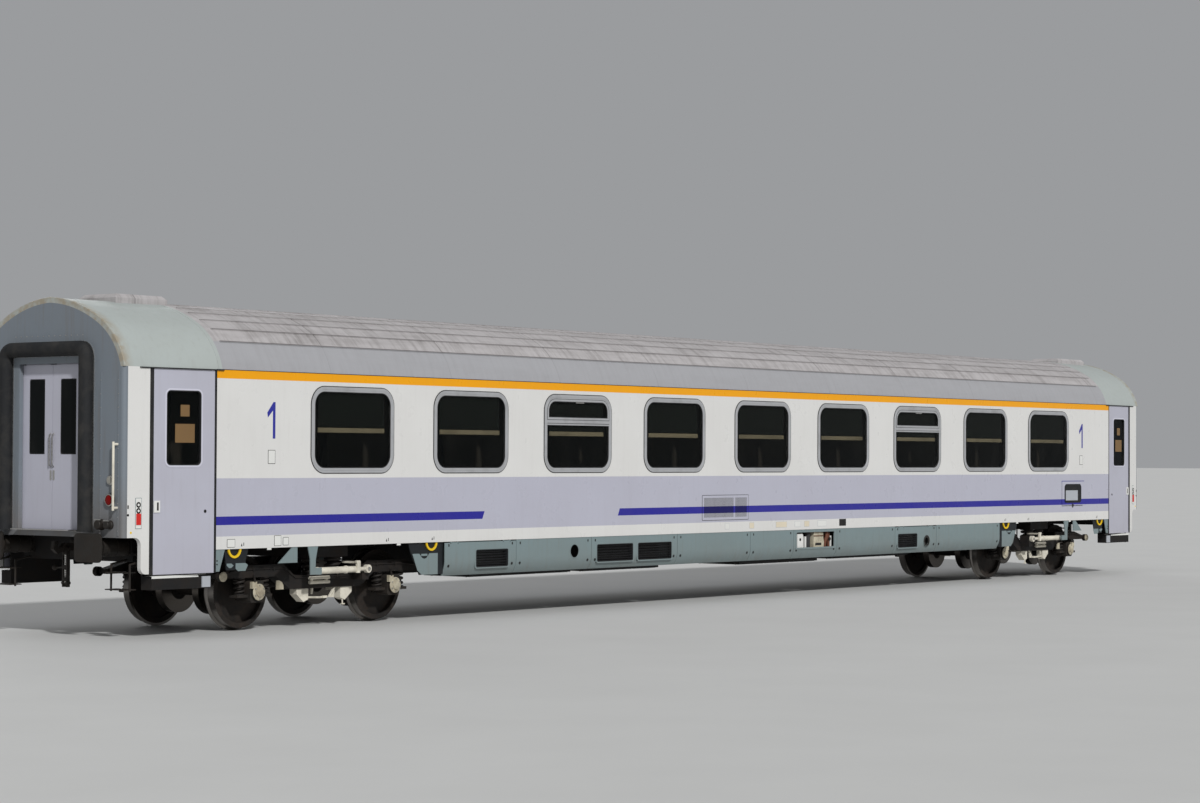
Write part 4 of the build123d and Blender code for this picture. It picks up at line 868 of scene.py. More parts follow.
def door_trims():
    """The lip, gasket, lock, seals and step of each door, and the fittings on the pillar beside it."""
    trims = Shape("black_plastic")
    width, height, corner_radius = DOOR_GLASS
    middle = (DOOR_LEAF[0] + DOOR_LEAF[1]) / 2
    face = 0.004
    outer = rounded_loop(width, height, corner_radius, inset=-0.022)
    edge = rounded_loop(width, height, corner_radius)
    gasket = rounded_loop(width, height, corner_radius, inset=0.014)
    leaf = rounded_loop(DOOR_LEAF[1] - DOOR_LEAF[0] - 0.02, GUTTER - 0.012 - DOOR_BOTTOM, 0.03)
    keyhole = [(0, 0), (0.020, 0), (0.020, 0.003), (0.014, 0.005), (0, 0.005)]
    ring = [(0.016, 0), (0.034, 0), (0.034, 0.006), (0.026, 0.009), (0.016, 0.006)]
    step_lip = [(0.215, 0.695), (0.965, 0.695), (0.965, 0.724), (0.240, 0.724), (0.222, 0.716)]
    for corner in CORNERS:
        at = corner @ AT_DOOR
        trims.ring(outer, edge, 0.005, at @ move(middle, face - 0.005, DOOR_GLASS_MIDDLE), "lip_paint")
        trims.ring(edge, gasket, 0.052, at @ move(middle, face - 0.001, DOOR_GLASS_MIDDLE), "rubber")
        trims.hoop(leaf, 0, 0.003, at @ move(middle, face, (GUTTER + DOOR_BOTTOM) / 2), "door_paint")
        for low, high, finish in DOOR_BLOCKS:
            trims.block(low, high, at, finish)
        trims.lathe(keyhole, at @ out_of_side(0.164, face, 1.478))
        for z in (1.564, 1.494):
            trims.lathe(ring, at @ out_of_side(1.175, 0, z))
            trims.stud((0.016, 0.015, 0.007, 0.008), at @ out_of_side(1.175, 0, z), 20, "blank_plate")
        trims.stud((0.015, 0.013, 0.005, 0.005), at @ out_of_side(1.326, 0, 1.445), 20)
        trims.stud((0.014, 0.012, 0.004, 0.004), at @ out_of_side(1.282, 0, 1.240), 20, "hook_yellow")
        # Blank cards behind the glass, by half width, foot and top
        x = middle + (0.036 if corner[0][0] > 0 else -0.036)
        for half, foot, top in ((0.068, 2.607, 2.745), (0.148, 2.295, 2.518)):
            trims.block((x - half, 0.028, foot), (x + half, 0.030, top), at, "blank_card")
        # The step's white lip, its ribbed tread and the pale box beside it
        step = corner @ move(DOOR_START, STEP_FACE, 0)
        trims.plate(step_lip, 0.030, step @ move(0, -0.004, 0), "blank_plate")
        for i in range(5):
            y = 0.040 + 0.026 * i
            trims.block((0.05, y, 0.720), (0.94, y + 0.010, 0.726), step, "bright_steel")
        trims.block((0.031, -0.016, 0.570), (0.165, 0.004, 0.700), step, "lid_grey")
    trims.make("door_trims")


def numeral():
    """The class numeral beside the outer windows, over a small blank plate."""
    outline = [(-0.022, 0), (0.022, 0), (0.022, 0.450), (-0.012, 0.450)]
    outline += [(-0.120, 0.318), (-0.108, 0.258), (-0.022, 0.345)]
    edge, face = rounded_loop(0.125, 0.170, 0.008, 3), rounded_loop(0.113, 0.158, 0.006, 3)
    marks = Shape("numeral_blue")
    numeral_foot, plate_middle = 2.355, 2.130
    for side in SIDES:
        # The far side's outline is turned back, so that it reads the right way round
        reading = flip(1 if side is SIDES[0] else -1, 1)
        for x in (-10.68, 10.575):
            at = side @ move(x, -HALF_WIDTH, 0)
            marks.plate(outline, 0.0012, at @ move(0, -0.0012, numeral_foot) @ reading)
            marks.plate(edge, 0.002, at @ move(-0.04, -0.002, plate_middle), "black_plastic")
            marks.plate(face, 0.001, at @ move(-0.04, -0.003, plate_middle), "blank_plate")
    marks.make("class_numerals")


def sill_plates():
    """Small blank plates, tags and marks on the sill, and the line round the service hatch."""
    plates = Shape("black_plastic")
    # X, Z, width and height of the plates with a dark edge
    edged = ((-11.40, 1.085, 0.135, 0.100), (-10.605, 1.100, 0.120, 0.130), (-10.464, 1.090, 0.100, 0.100))
    arrow = [(-0.012, 1.045), (0.012, 1.045), (0, 1.085)]
    for side in SIDES:
        at = side @ move(0, -HALF_WIDTH, 0)
        for x, z, width, height in edged:
            plates.plate(rounded_loop(width, height, 0.008, 2), 0.002, at @ move(x, -0.002, z))
            face = rounded_loop(width - 0.010, height - 0.010, 0.005, 2)
            plates.plate(face, 0.001, at @ move(x, -0.003, z), "blank_plate")
        for x in (-10.745, -8.38, 10.10, 8.10):
            plates.block((x - 0.035, 0.002, 0.990), (x + 0.035, 0.008, 1.014), at, "blank_plate")
        for x in (-11.22, -8.62, -7.73, 7.64, 8.49, 11.15):
            plates.plate(arrow, 0.001, at @ move(x, -0.001, 0))
            plates.block((x + 0.030, -0.001, 1.050), (x + 0.040, 0, 1.090), at)
    at = UP @ move(0, -HALF_WIDTH, 0)
    plates.plate(rounded_loop(0.200, 0.110, 0.006, 2), 0.002, at @ move(2.294, -0.002, 1.110))
    # X and width of the two kinds of pale plates in a row on the corridor side's sill
    white = ((-0.96, 0.11), (0.98, 0.16), (1.68, 0.26))
    tinted = ((-0.30, 0.12), (0.52, 0.30), (1.24, 0.14))
    row_middle, height, border = 1.105, 0.085, 0.006
    for row, finish in ((white, "blank_plate"), (tinted, "pale_orange")):
        for x, width in row:
            face, here = rounded_loop(width, height, 0.006, 2), at @ move(x, -0.002, row_middle)
            edge = rounded_loop(width + border, height + border, 0.006, 2)
            plates.plate(face, 0.002, here, finish)
            plates.ring(edge, face, 0.002, here, "lid_grey")
    # The hatch: a black rounded surround, the pale lid before it, the line that brackets it and its diamond
    here = at @ move(10.21, -0.007, 1.515)
    inner = rounded_loop(0.610, 0.305, 0.055)
    plates.ring(rounded_loop(0.650, 0.345, 0.070), inner, 0.004, here, "rubber")
    plates.plate(rounded_loop(0.611, 0.306, 0.055), 0.004, here @ move(0, 0.001, 0), "rubber")
    lid = [(-0.290, -0.130), (0.175, -0.130), (0.175, 0.055), (-0.290, 0.055)]
    plates.plate(lid, 0.004, here @ move(0, -0.004, 0), "lid_grey")
    # Start, foot, end and top of the line's three parts
    parts = ((-0.435, -0.232, -0.425, 0.232), (-0.435, 0.222, 0.445, 0.232), (-0.435, -0.232, 0.380, -0.222))
    for start, foot, end, top in parts:
        plates.block((start, 0.004, foot), (end, 0.007, top), here, "numeral_blue")
    diamond = [(0, -0.045), (0.042, 0), (0, 0.045), (-0.042, 0)]
    plates.plate(diamond, 0.003, here @ move(-0.010, 0, -0.222))
    plates.make("sill_plates")


def louvre():
    """The air louvre: a pale frame with a dark edge and a post, close upright slats, and a dark sheet behind
    them as painted shade.
    """
    low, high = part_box("wall_louvre")
    start, end, foot, top = low.x, high.x, low.z - RAIL, high.z - RAIL
    width, height, rim, post = end - start, top - foot, 0.038, -0.790
    grid = Shape("livery_paint")
    at = UP @ move(0, -HALF_WIDTH, 0)
    here = at @ move((start + end) / 2, 0, (foot + top) / 2)
    outer = rounded_loop(width, height, 0.012, 2)
    inner = rounded_loop(width - 2 * rim, height - 2 * rim, 0.008, 2)
    edge = rounded_loop(width + 0.014, height + 0.014, 0.014, 2)
    grid.ring(outer, inner, 0.024, here @ move(0, -0.003, 0))
    grid.ring(edge, outer, 0.003, here @ move(0, -0.002, 0), "rubber")
    grid.block((post, -0.002, foot + rim / 2), (post + rim, 0.019, top - rim / 2), at)
    # A dark sheet behind the slats: painted shade inside the louvre
    grid.block((start + 0.001, 0.019, foot + 0.001), (end - 0.001, 0.024, top - 0.001), at, "rubber")
    blade = [(-0.005, 0.000), (-0.005, 0.003), (0.005, 0.006), (0.005, 0.003)]
    for first, last in ((start + rim, post), (post + rim, end - rim)):
        count = round((last - first) / 0.024)
        for i in range(count):
            x = first + (i + 0.5) * (last - first) / count
            grid.sweep([(x, 0, foot + rim), (x, 0, top - rim)], blade, (0, 1, 0), at, "louvre_paint")
    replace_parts(grid.make("louvre_grid"), "wall_louvre")


def roof_section(x, lower=0.0, steps=7):
    """Points of the roof's face at x, from one gutter over the crown to the other."""
    radius, shoulder = CROWN_RADIUS - lower, SHOULDER_RADIUS - lower
    half = []
    for i in range(steps + 1):
        angle = ARC_JOINT * i / steps
        half.append((radius * math.sin(angle), CROWN_CENTRE + radius * math.cos(angle)))
    end_angle = math.acos(SHOULDER_DROP / SHOULDER_RADIUS)
    for i in range(1, steps + 1):
        angle = ARC_JOINT + (end_angle - ARC_JOINT) * i / steps
        z = GUTTER - SHOULDER_DROP + shoulder * math.cos(angle)
        half.append((SHOULDER_OUT + shoulder * math.sin(angle), z))
    inset = END_NARROWING * max(0.0, x - (HALF_BODY - ROOF_END_LENGTH)) / ROOF_END_LENGTH
    half = [(max(0.0, y - inset), z) for y, z in half]
    return [(x, -y, z) for y, z in reversed(half)] + [(x, y, z) for y, z in half[1:]]


def roof_beads():
    """Each end roof's rolled edge, the strip over its joint with the centre roof, and the dark gutter lines,
    a painted shadow under the roof's edge along its joint with the wall.
    """
    beads = Shape("roof_end_paint")
    strip = [(-0.002, -0.03), (0.0035, -0.03), (0.0035, 0.03), (-0.002, 0.03)]
    for at in ENDS:
        beads.tube(roof_section(HALF_BODY - 0.014, 0.004), 0.013, (1, 0, 0), at)
        beads.sweep(roof_section(HALF_BODY - ROOF_END_LENGTH), strip, (1, 0, 0), at)
    # The gutter lines are dark rubber tubes along the joint, painting the fine shadow under the roof's edge
    gutter = [(x, -HALF_WIDTH - 0.001, GUTTER) for x in (-DOOR_START, DOOR_START)]
    for at in SIDES:
        beads.tube(gutter, 0.004, (0, 0, 1), at, "rubber", 6)
    beads.make("roof_beads")


def gangway_bellows():
    """The fat rubber roll round each gangway, on its clamping strips."""
    rolls = Shape("rubber")
    low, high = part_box("gangway_rubbers")
    foot, top, depth = low.z - RAIL, high.z - RAIL, high.x - HALF_BODY
    half_band, corner = 0.090, 0.110
    centre = high.y - half_band
    path = [(HALF_BODY, -centre, foot)]
    for i in range(9):
        angle = math.radians(180 - 90 * i / 8)
        y = -centre + corner + corner * math.cos(angle)
        path.append((HALF_BODY, y, top - half_band - corner + corner * math.sin(angle)))
    path += [(x, -y, z) for x, y, z in reversed(path)]
    outline = [(-half_band * 0.80, 0)]
    for i in range(17):
        angle = math.pi * i / 16
        outline.append((-half_band * math.cos(angle), depth * 0.30 + depth * 0.70 * math.sin(angle)))
    outline.append((half_band * 0.80, 0))
    strip = [(-half_band, 0), (-half_band, 0.012), (-half_band * 0.7, 0.012), (-half_band * 0.7, 0)]
    for at in ENDS:
        rolls.sweep(path, outline, (1, 0, 0), at)
        for side in (-1, 1):
            rolls.sweep(path, [(a * side, b) for a, b in strip], (1, 0, 0), at, "bright_steel")
    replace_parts(rolls.make("gangway_bellows"), "gangway_rubbers")


def end_door_fittings():
    """Panes with gaskets on both faces of each end door leaf, and a grab bar and lock near its edge."""
    low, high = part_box("end_door_2_left")
    edge, pane = rounded_loop(0.280, 0.900, 0.030), rounded_loop(0.256, 0.876, 0.030)
    bar = [(0, 0, 2.00), (0.028, 0, 2.02), (0.030, 0, 2.05), (0.030, 0, 2.35), (0.028, 0, 2.38), (0, 0, 2.40)]
    for number, end in ((1, -1), (2, 1)):
        for name, side in (("left", end), ("right", -end)):
            fittings = Shape("bright_steel")
            at = UP @ flip(end, side)
            for x, turned in ((high.x - 0.010, 90), (low.x + 0.010, -90)):
                here = at @ move(x, 0.280, 2.600) @ turn(turned, "Z")
                fittings.plate(pane, 0.003, here @ move(0, -0.003, 0), "dark_pane")
                fittings.ring(edge, pane, 0.007, here @ move(0, -0.007, 0), "rubber")
            fittings.tube(bar, 0.008, (0, 1, 0), at @ move(high.x - 0.001, 0.026, 0))
            lock = at @ move(high.x + 0.002, 0.026, 1.900) @ turn(90, "Z")
            fittings.plate(rounded_loop(0.034, 0.120, 0.010, 3), 0.003, lock)
            fittings.make(f"end_door_fittings_{number}_{name}", f"end_door_{number}_{name}")


def lamp_lenses():
    """A red lens in each tail lamp in a bright bezel, and a clear lamp above it."""
    lenses = Shape("bright_steel")
    low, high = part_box("tail_lamps")
    lamp_radius, upper_rise = 0.075, 0.230
    y, z = lamp_radius - high.y, (low.z + high.z) / 2 - RAIL
    bezel = [(0.060, 0), (0.073, 0), (0.073, 0.006), (0.066, 0.010), (0.060, 0.008)]
    dome = [(0, 0), (0.060, 0), (0.052, 0.010), (0.030, 0.016), (0, 0.018)]
    body = [(0, 0), (0.058, 0), (0.058, 0.018), (0.050, 0.024), (0, 0.024)]
    lens = [(0, 0.022), (0.046, 0.022), (0.036, 0.032), (0, 0.036)]
    for corner in CORNERS:
        lower, upper = corner @ out_of_end(high.x, y, z), corner @ out_of_end(HALF_BODY, y, z + upper_rise)
        lenses.lathe(bezel, lower, 28)
        lenses.lathe(dome, lower, 28, "lamp_red")
        lenses.lathe(body, upper, 28)
        lenses.lathe(lens, upper, 28, "lamp_clear")
    lenses.make("lamp_lenses")


def end_wall_details():
    """Cover strips, rivets, jumper sockets and shunter's steps, and the bolts and rings of the buffers."""
    details = Shape("cast_iron")
    strip_half, strip_depth, strip_foot, strip_top = 0.012, 0.006, 1.200, 3.120
    rivet_foot, rivet_step, socket_height = 1.26, 0.16, 1.330
    step_middle, step_half, stay_half = 1.02, 0.17, 0.16
    for end in ENDS:
        at = end @ move(HALF_BODY, 0, 0)
        for side in (-1, 1):
            for y in (side * 0.930, side * 1.235):
                low, high = (0, y - strip_half, strip_foot), (strip_depth, y + strip_half, strip_top)
                details.block(low, high, at, "end_wall_paint")
                for i in range(12):
                    rivet = at @ out_of_end(strip_depth, y, rivet_foot + rivet_step * i)
                    details.stud((0.007, 0.005, 0.004, 0.005), rivet, 6, "bright_steel")
            # Jumper sockets with their hinged lids
            for y, radius in ((side * 0.960, 0.055), (side * 1.110, 0.045)):
                body = [(0, 0), (radius * 1.2, 0), (radius * 1.2, 0.02), (radius, 0.03), (radius, 0.075)]
                body += [(radius * 0.9, 0.082), (0, 0.082)]
                details.lathe(body, at @ out_of_end(0, y, socket_height))
                hinge = [(-radius, 0, radius * 1.1), (radius, 0, radius * 1.1)]
                here = at @ move(0.070, y, socket_height) @ turn(90, "Z")
                details.tube(hinge, 0.008, (0, 0, 1), here, "bright_steel")
            # Shunter's steps below the headstock and their stays
            y = side * step_middle
            for z in (0.560, 0.760):
                details.block((-0.330, y - step_half, z), (-0.150, y + step_half, z + 0.012), at)
            for y in (side * (step_middle - stay_half), side * (step_middle + stay_half)):
                stay = [(-0.480, y, 0.905), (-0.240, y, 0.860), (-0.240, y, 0.545)]
                details.tube(stay, 0.013, (0, 1, 0), at)
            # Buffer: bolts on its foot and rings on its barrel
            y = side * BUFFER_ACROSS
            for aside in (-0.080, 0.080):
                for up in (-0.080, 0.080):
                    bolt = at @ out_of_end(-0.445, y + aside, BUFFER_HEIGHT + up)
                    details.stud((0.018, 0.018, 0.016, 0.018), bolt)
            ring = [(0.100, 0), (0.112, 0.004), (0.112, 0.016), (0.100, 0.020)]
            for x in BUFFER_RINGS:
                details.lathe(ring, at @ out_of_end(x, y, BUFFER_HEIGHT), 28)
        # The line of rivets over the gangway
        for i in range(13):
            rivet = at @ out_of_end(0, -0.60 + 0.10 * i, 3.560)
            details.stud((0.008, 0.006, 0.004, 0.005), rivet, 6, "bright_steel")
    details.make("end_wall_details")


def coupling_screws():
    """The screw, nuts and balanced handle between the links of each coupling."""
    screws = Shape("cast_iron")
    foot, top, turns = 0.610, 1.018, 16
    thread = [(0, foot)]
    for i in range(turns + 1):
        z = foot + (top - foot) * i / turns
        thread += [(0.021, z), (0.026, z + 0.006), (0.021, z + 0.012)]
    thread.append((0, top + 0.012))
    nut = [(0, 0), (0.040, 0), (0.044, 0.01), (0.044, 0.04), (0.040, 0.05), (0, 0.05)]
    knob = 0.034
    steps = [math.pi * i / 8 for i in range(1, 8)]
    ball = [(0, -knob), *((knob * math.sin(a), -knob * math.cos(a)) for a in steps), (0, knob)]
    for end in ENDS:
        at = end @ move(HALF_BODY - COUPLING_BACK, 0, 0)
        screws.lathe(thread, at, 16, "bright_steel")
        for z in (foot + 0.02, top - 0.07):
            screws.lathe(nut, at @ move(0, 0, z), 16)
        screws.lathe([(0, 0.775), (0.032, 0.775), (0.032, 0.825), (0, 0.825)], at, 16)
        screws.tube([(0, 0.02, 0.80), (0.01, 0.17, 0.79)], 0.012, (1, 0, 0), at)
        screws.lathe(ball, at @ move(0.01, 0.19, 0.79), 16)
    screws.make("coupling_screws")


def grille_frame(fittings, here, start, end, foot, top):
    """A thin frame round a grille and the upright bars in it."""
    width, height = end - start, top - foot
    outer = rounded_loop(width + 0.014, height + 0.014, 0.032)
    inner = rounded_loop(width - 0.020, height - 0.020, 0.028)
    at = here @ move((start + end) / 2, SKIRT_FACE - 0.002, (foot + top) / 2)
    fittings.ring(outer, inner, 0.020, at, "skirt_paint")
    count = round(width / 0.045)
    for i in range(1, count):
        x = -width / 2 + width * i / count
        low, high = (x - 0.0015, 0.012, 0.02 - height / 2), (x + 0.0015, 0.015, height / 2 - 0.02)
        fittings.block(low, high, at, "grille_dark")


def skirt_openings(fittings, here):
    """The two holes' rims, the inspection window's frame and the strips behind the flaps' top gaps."""
    low_hole = (4.952, 0.750)
    # X, Z, radius and finish of the rims
    for x, z, radius, finish in ((-4.69, 0.823, 0.100, "skirt_paint"), (*low_hole, 0.065, "black_plastic")):
        rim = [(radius - 0.008, 0.002), (radius + 0.004, 0.003), (radius + 0.004, -0.001)]
        rim += [(radius - 0.002, -0.004), (radius - 0.008, -0.004)]
        fittings.lathe(rim, here @ out_of_side(x, SKIRT_FACE, z), 32, finish)
    hole = here @ on_skirt(*low_hole)
    collar = [(0.062, 0.001), (0.098, 0.001), (0.098, 0.003), (0.062, 0.003)]
    fittings.lathe(collar, hole @ turn(90, "X"), 32)
    angles = [math.radians(a) for a in range(195, 300, 12)]
    crescent = [(0.088 * math.cos(a), -0.001, 0.088 * math.sin(a)) for a in angles]
    fittings.tube(crescent, 0.005, (0, -1, 0), hole, "skirt_paint", 6)
    window = here @ move(1.510, SKIRT_FACE - 0.003, 0.850)
    edges = rounded_loop(1.150, 0.300, 0.025), rounded_loop(1.090, 0.240, 0.015)
    fittings.ring(*edges, 0.016, window, "skirt_paint")
    for panel in FLAP_PANELS:
        low = (PANELS[panel] + 0.300, SKIRT_FACE + 0.020, 0.975)
        high = (PANELS[panel + 1] - 0.300, SKIRT_FACE + 0.024, 1.020)
        fittings.block(low, high, here, "skirt_paint")


def skirt_fittings():
    """Keeper slots and turn latches at the ends of every skirt panel and flap, and their grilles' frames."""
    keeper = rounded_loop(0.022, 0.036, 0.008, 3)
    latch = [(0.010, 0), (0.020, 0), (0.020, 0.003), (0.010, 0.004)]
    from_end, keeper_height, latch_height = 0.085, 0.965, 0.690
    # Name, body, number of the flap and places of each piece
    groups = [("skirt_fittings", "body", 0, SIDES)]
    for number in (1, 2):
        for here, side in zip(SIDES, ("near", "far")):
            groups.append((f"flap_fittings_{number}_{side}", f"skirt_flap_{number}_{side}", number, [here]))
    for name, body, flap, places in groups:
        fittings = Shape("black_plastic")
        for here in places:
            for i, (start, end) in enumerate(zip(PANELS, PANELS[1:])):
                if FLAP_PANELS.get(i, 0) != flap:
                    continue
                for x in (start + from_end, end - from_end):
                    high = here @ on_skirt(x, keeper_height) @ move(0, -0.002, 0)
                    fittings.plate(keeper, 0.004, high)
                    low = here @ on_skirt(x, latch_height) @ turn(90, "X")
                    fittings.lathe(latch, low, 14)
                    fittings.stud((0.007, 0.007, 0.003, 0.003), low, 10, "grille_dark")
            for *grille, number in GRILLES:
                if number == flap:
                    grille_frame(fittings, here, *grille)
            if not flap:
                skirt_openings(fittings, here)
        fittings.make(name, body)


def inspection_gear():
    """Cocks, a reservoir head and pipe ends behind the skirt's inspection window."""
    gear = Shape("blank_plate")
    shift, face, foot, top = 0.070, -1.372, 0.712, 0.985
    cover = [(0.965, foot), (1.130, foot), (1.130, 0.925), (1.110, 0.945), (0.965, 0.945)]
    head = [(1.430, foot), (1.725, foot), (1.735, 0.800), (1.715, 0.870), (1.715, top), (1.440, top)]
    head += [(1.440, 0.870), (1.425, 0.800)]
    slot = [(1.470, 0.755), (1.655, 0.755), (1.655, 0.795), (1.490, 0.795)]
    bend = [(1.800, 0.040, foot), (1.805, 0.030, 0.820), (1.850, 0.030, 0.880), (1.855, 0.040, top)]
    # Path, radius, finish and sides of the upright pipes
    pipes = (
        ([(1.175, 0.080, foot), (1.175, 0.080, top)], 0.018, "black_plastic", 8),
        ([(1.330, 0.060, foot), (1.330, 0.060, top)], 0.050, "tank_grey", 14),
        (bend, 0.030, "rusty_pipe", 10),
        ([(1.915, 0.040, foot), (1.915, 0.035, 0.950)], 0.022, "rusty_pipe", 10),
    )
    for side in SIDES:
        here = side @ move(shift, face, 0)
        gear.plate(cover, 0.060, here)
        gear.stud((0.024, 0.020, 0.006, 0.006), here @ out_of_side(1.045, 0, 0.855), 14, "black_plastic")
        gear.block((1.195, 0.010, foot), (1.235, 0.050, 0.900), here)
        gear.block((1.945, 0.015, foot), (1.975, 0.050, 0.900), here)
        for path, radius, finish, sides in pipes:
            gear.tube(path, radius, (1, 0, 0), here, finish, sides)
        gear.plate(head, 0.090, here, "cover_cream")
        gear.plate(slot, 0.006, here @ move(0, -0.003, 0), "black_plastic")
        gear.tube([(1.440, -0.004, 0.905), (1.715, -0.004, 0.905)], 0.007, (0, -1, 0), here, "rusty_pipe")
        gear.stud((0.030, 0.026, 0.010, 0.012), here @ out_of_side(1.915, 0.010, 0.850), 14, "black_plastic")
    gear.make("inspection_gear")


def fairing_plates():
    """The light lower plates with their notch below the dark fairings, and the dots of the door fairings."""
    plates = Shape("skirt_paint")
    # The skirt end's light part: its outline from the skirt towards the wheel, and back along the notch
    outline = [(7.585, 0.590), (7.900, 0.590), (7.985, 0.650), (8.085, 0.870)]
    outline += [(7.955, 0.870), (7.925, 0.845), (7.895, 0.812), (7.850, 0.800)]
    outline += [(7.805, 0.812), (7.775, 0.845), (7.750, 0.870), (7.585, 0.870)]
    for corner in CORNERS:
        here = corner @ move(0, -HALF_WIDTH + 0.028, 0)
        plates.plate(outline, 0.004, here)
        plates.block((7.790, 0.001, 0.838), (7.910, 0.005, 0.866), here)
        # The two rounded patches at the foot of the plate behind the outer hook
        for start, end, foot in ((11.085, 11.290, 0.745), (11.325, 11.440, 0.785)):
            patch = [(start + 0.040, foot), (end - 0.040, foot), (end, foot + 0.030), (end, 0.840)]
            patch += [(start + 0.040, 0.840), (start, 0.815)]
            plates.plate(patch, 0.004, here)
        for z in (0.879, 0.836):
            dot = corner @ out_of_side(DOOR_START - 0.035, -HALF_WIDTH + 0.010, z)
            plates.stud((0.011, 0.010, 0.003, 0.003), dot, 12, "black_plastic")
    plates.make("fairing_plates")


def helix(x, low, high, radius, turns, steps=18):
    """A coil's middle line over a side frame, with end turns that lie flat on their seats."""
    path = []
    total = int(turns * steps)
    for i in range(total + 1):
        angle = 2 * math.pi * i / steps
        share = min(max((i / total - 0.5 / turns) / (1 - 1 / turns), 0), 1)
        y = -SIDE_FRAME + radius * math.sin(angle)
        path.append((x + radius * math.cos(angle), y, low + (high - low) * share))
    return path


def coil_springs(number):
    """Nested coils on turned seats at every place of the plain spring solids."""
    coils = Shape("spring_steel")
    pivot = -PIVOT if number == 1 else PIVOT
    # X, foot, top, radius, wire and turns of each spring
    places = [(x, 0.640, 0.860, 0.115, 0.020, 3.0) for x in (-0.200, 0.200)]
    for axle in (-AXLE, AXLE):
        places += [(axle + step, 0.430, 0.640, 0.075, 0.0145, 3.6) for step in (-SPRING_STEP, SPRING_STEP)]
    seat = 0.014
    for at in SIDES:
        for x, low, high, radius, wire, turns in places:
            x += pivot
            inner = wire * 0.7
            outer_path = helix(x, low + seat + wire, high - seat - wire, radius - wire, turns)
            coils.tube(outer_path, wire, (0, 0, 1), at, sides=9)
            inner_path = helix(x, low + seat + inner, high - seat - inner, radius * 0.52, turns * 1.4)
            coils.tube(inner_path, inner, (0, 0, 1), at, sides=7)
            for z in (low, high - seat):
                coils.stud((radius, radius, seat, seat), at @ move(x, -SIDE_FRAME, z), 24, "bogie_black")
    piece = coils.make(f"coil_springs_{number}", f"bogie_{number}", smooth=45)
    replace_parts(piece, f"springs_{number}")


def axlebox_fittings(gear, at):
    """The cover of an axlebox with its bolts and sensor, and the bolts of the side frame over it."""
    face = at @ out_of_side(0, AXLEBOX_FACE, WHEEL_RADIUS)
    cover = [(0, 0), (0.103, 0), (0.103, 0.006), (0.092, 0.014)]
    cover += [(0.064, 0.016), (0.060, 0.030), (0.050, 0.036), (0, 0.038)]
    gear.lathe(cover, face, 28, "cover_cream")
    for i in range(6):
        angle = math.radians(60 * i + 30)
        bolt = face @ move(0.082 * math.cos(angle), 0.082 * math.sin(angle), 0.012)
        gear.stud((0.011, 0.011, 0.010, 0.011), bolt, 6, "bright_steel")
    low, high = (-0.120, -1.150, WHEEL_RADIUS + 0.045), (-0.040, -1.105, WHEEL_RADIUS + 0.130)
    gear.block(low, high, at, "cover_cream")
    elbow = [(-0.080, -1.150, 0.585), (-0.085, -1.150, 0.625)]
    elbow += [(-0.060, -1.110, 0.655), (-0.020, -1.085, 0.660)]
    gear.tube(elbow, 0.012, (0, -1, 0), at, "bogie_black")
    head = [(0, 0), (0.015, 0), (0.015, 0.0024), (0.012, 0.0024), (0.012, 0.012), (0, 0.012)]
    for step in (-SPRING_STEP, SPRING_STEP):
        for x in (step - 0.045, step + 0.045):
            gear.lathe(head, at @ out_of_side(x, SIDE_FRAME_FACE, 0.735), 6, "bogie_black")


# Brake levers and the damper's clamp as (x, z) outlines
LEVERS = (
    [(0.075, 0.345), (0.110, 0.345), (0.210, 0.470), (0.180, 0.470)],
    [(-0.020, 0.335), (0.055, 0.335), (0.055, 0.365), (-0.020, 0.365)],
    [(0.120, 0.340), (0.180, 0.340), (0.195, 0.430)],
    [(-0.235, 0.395), (-0.215, 0.395), (-0.200, 0.480), (-0.230, 0.480)],
)
CLAMP = [
    (0.300, 0.655), (0.350, 0.655), (0.360, 0.690), (0.360, 0.800),
    (0.345, 0.812), (0.285, 0.812), (0.285, 0.785), (0.300, 0.780),
]


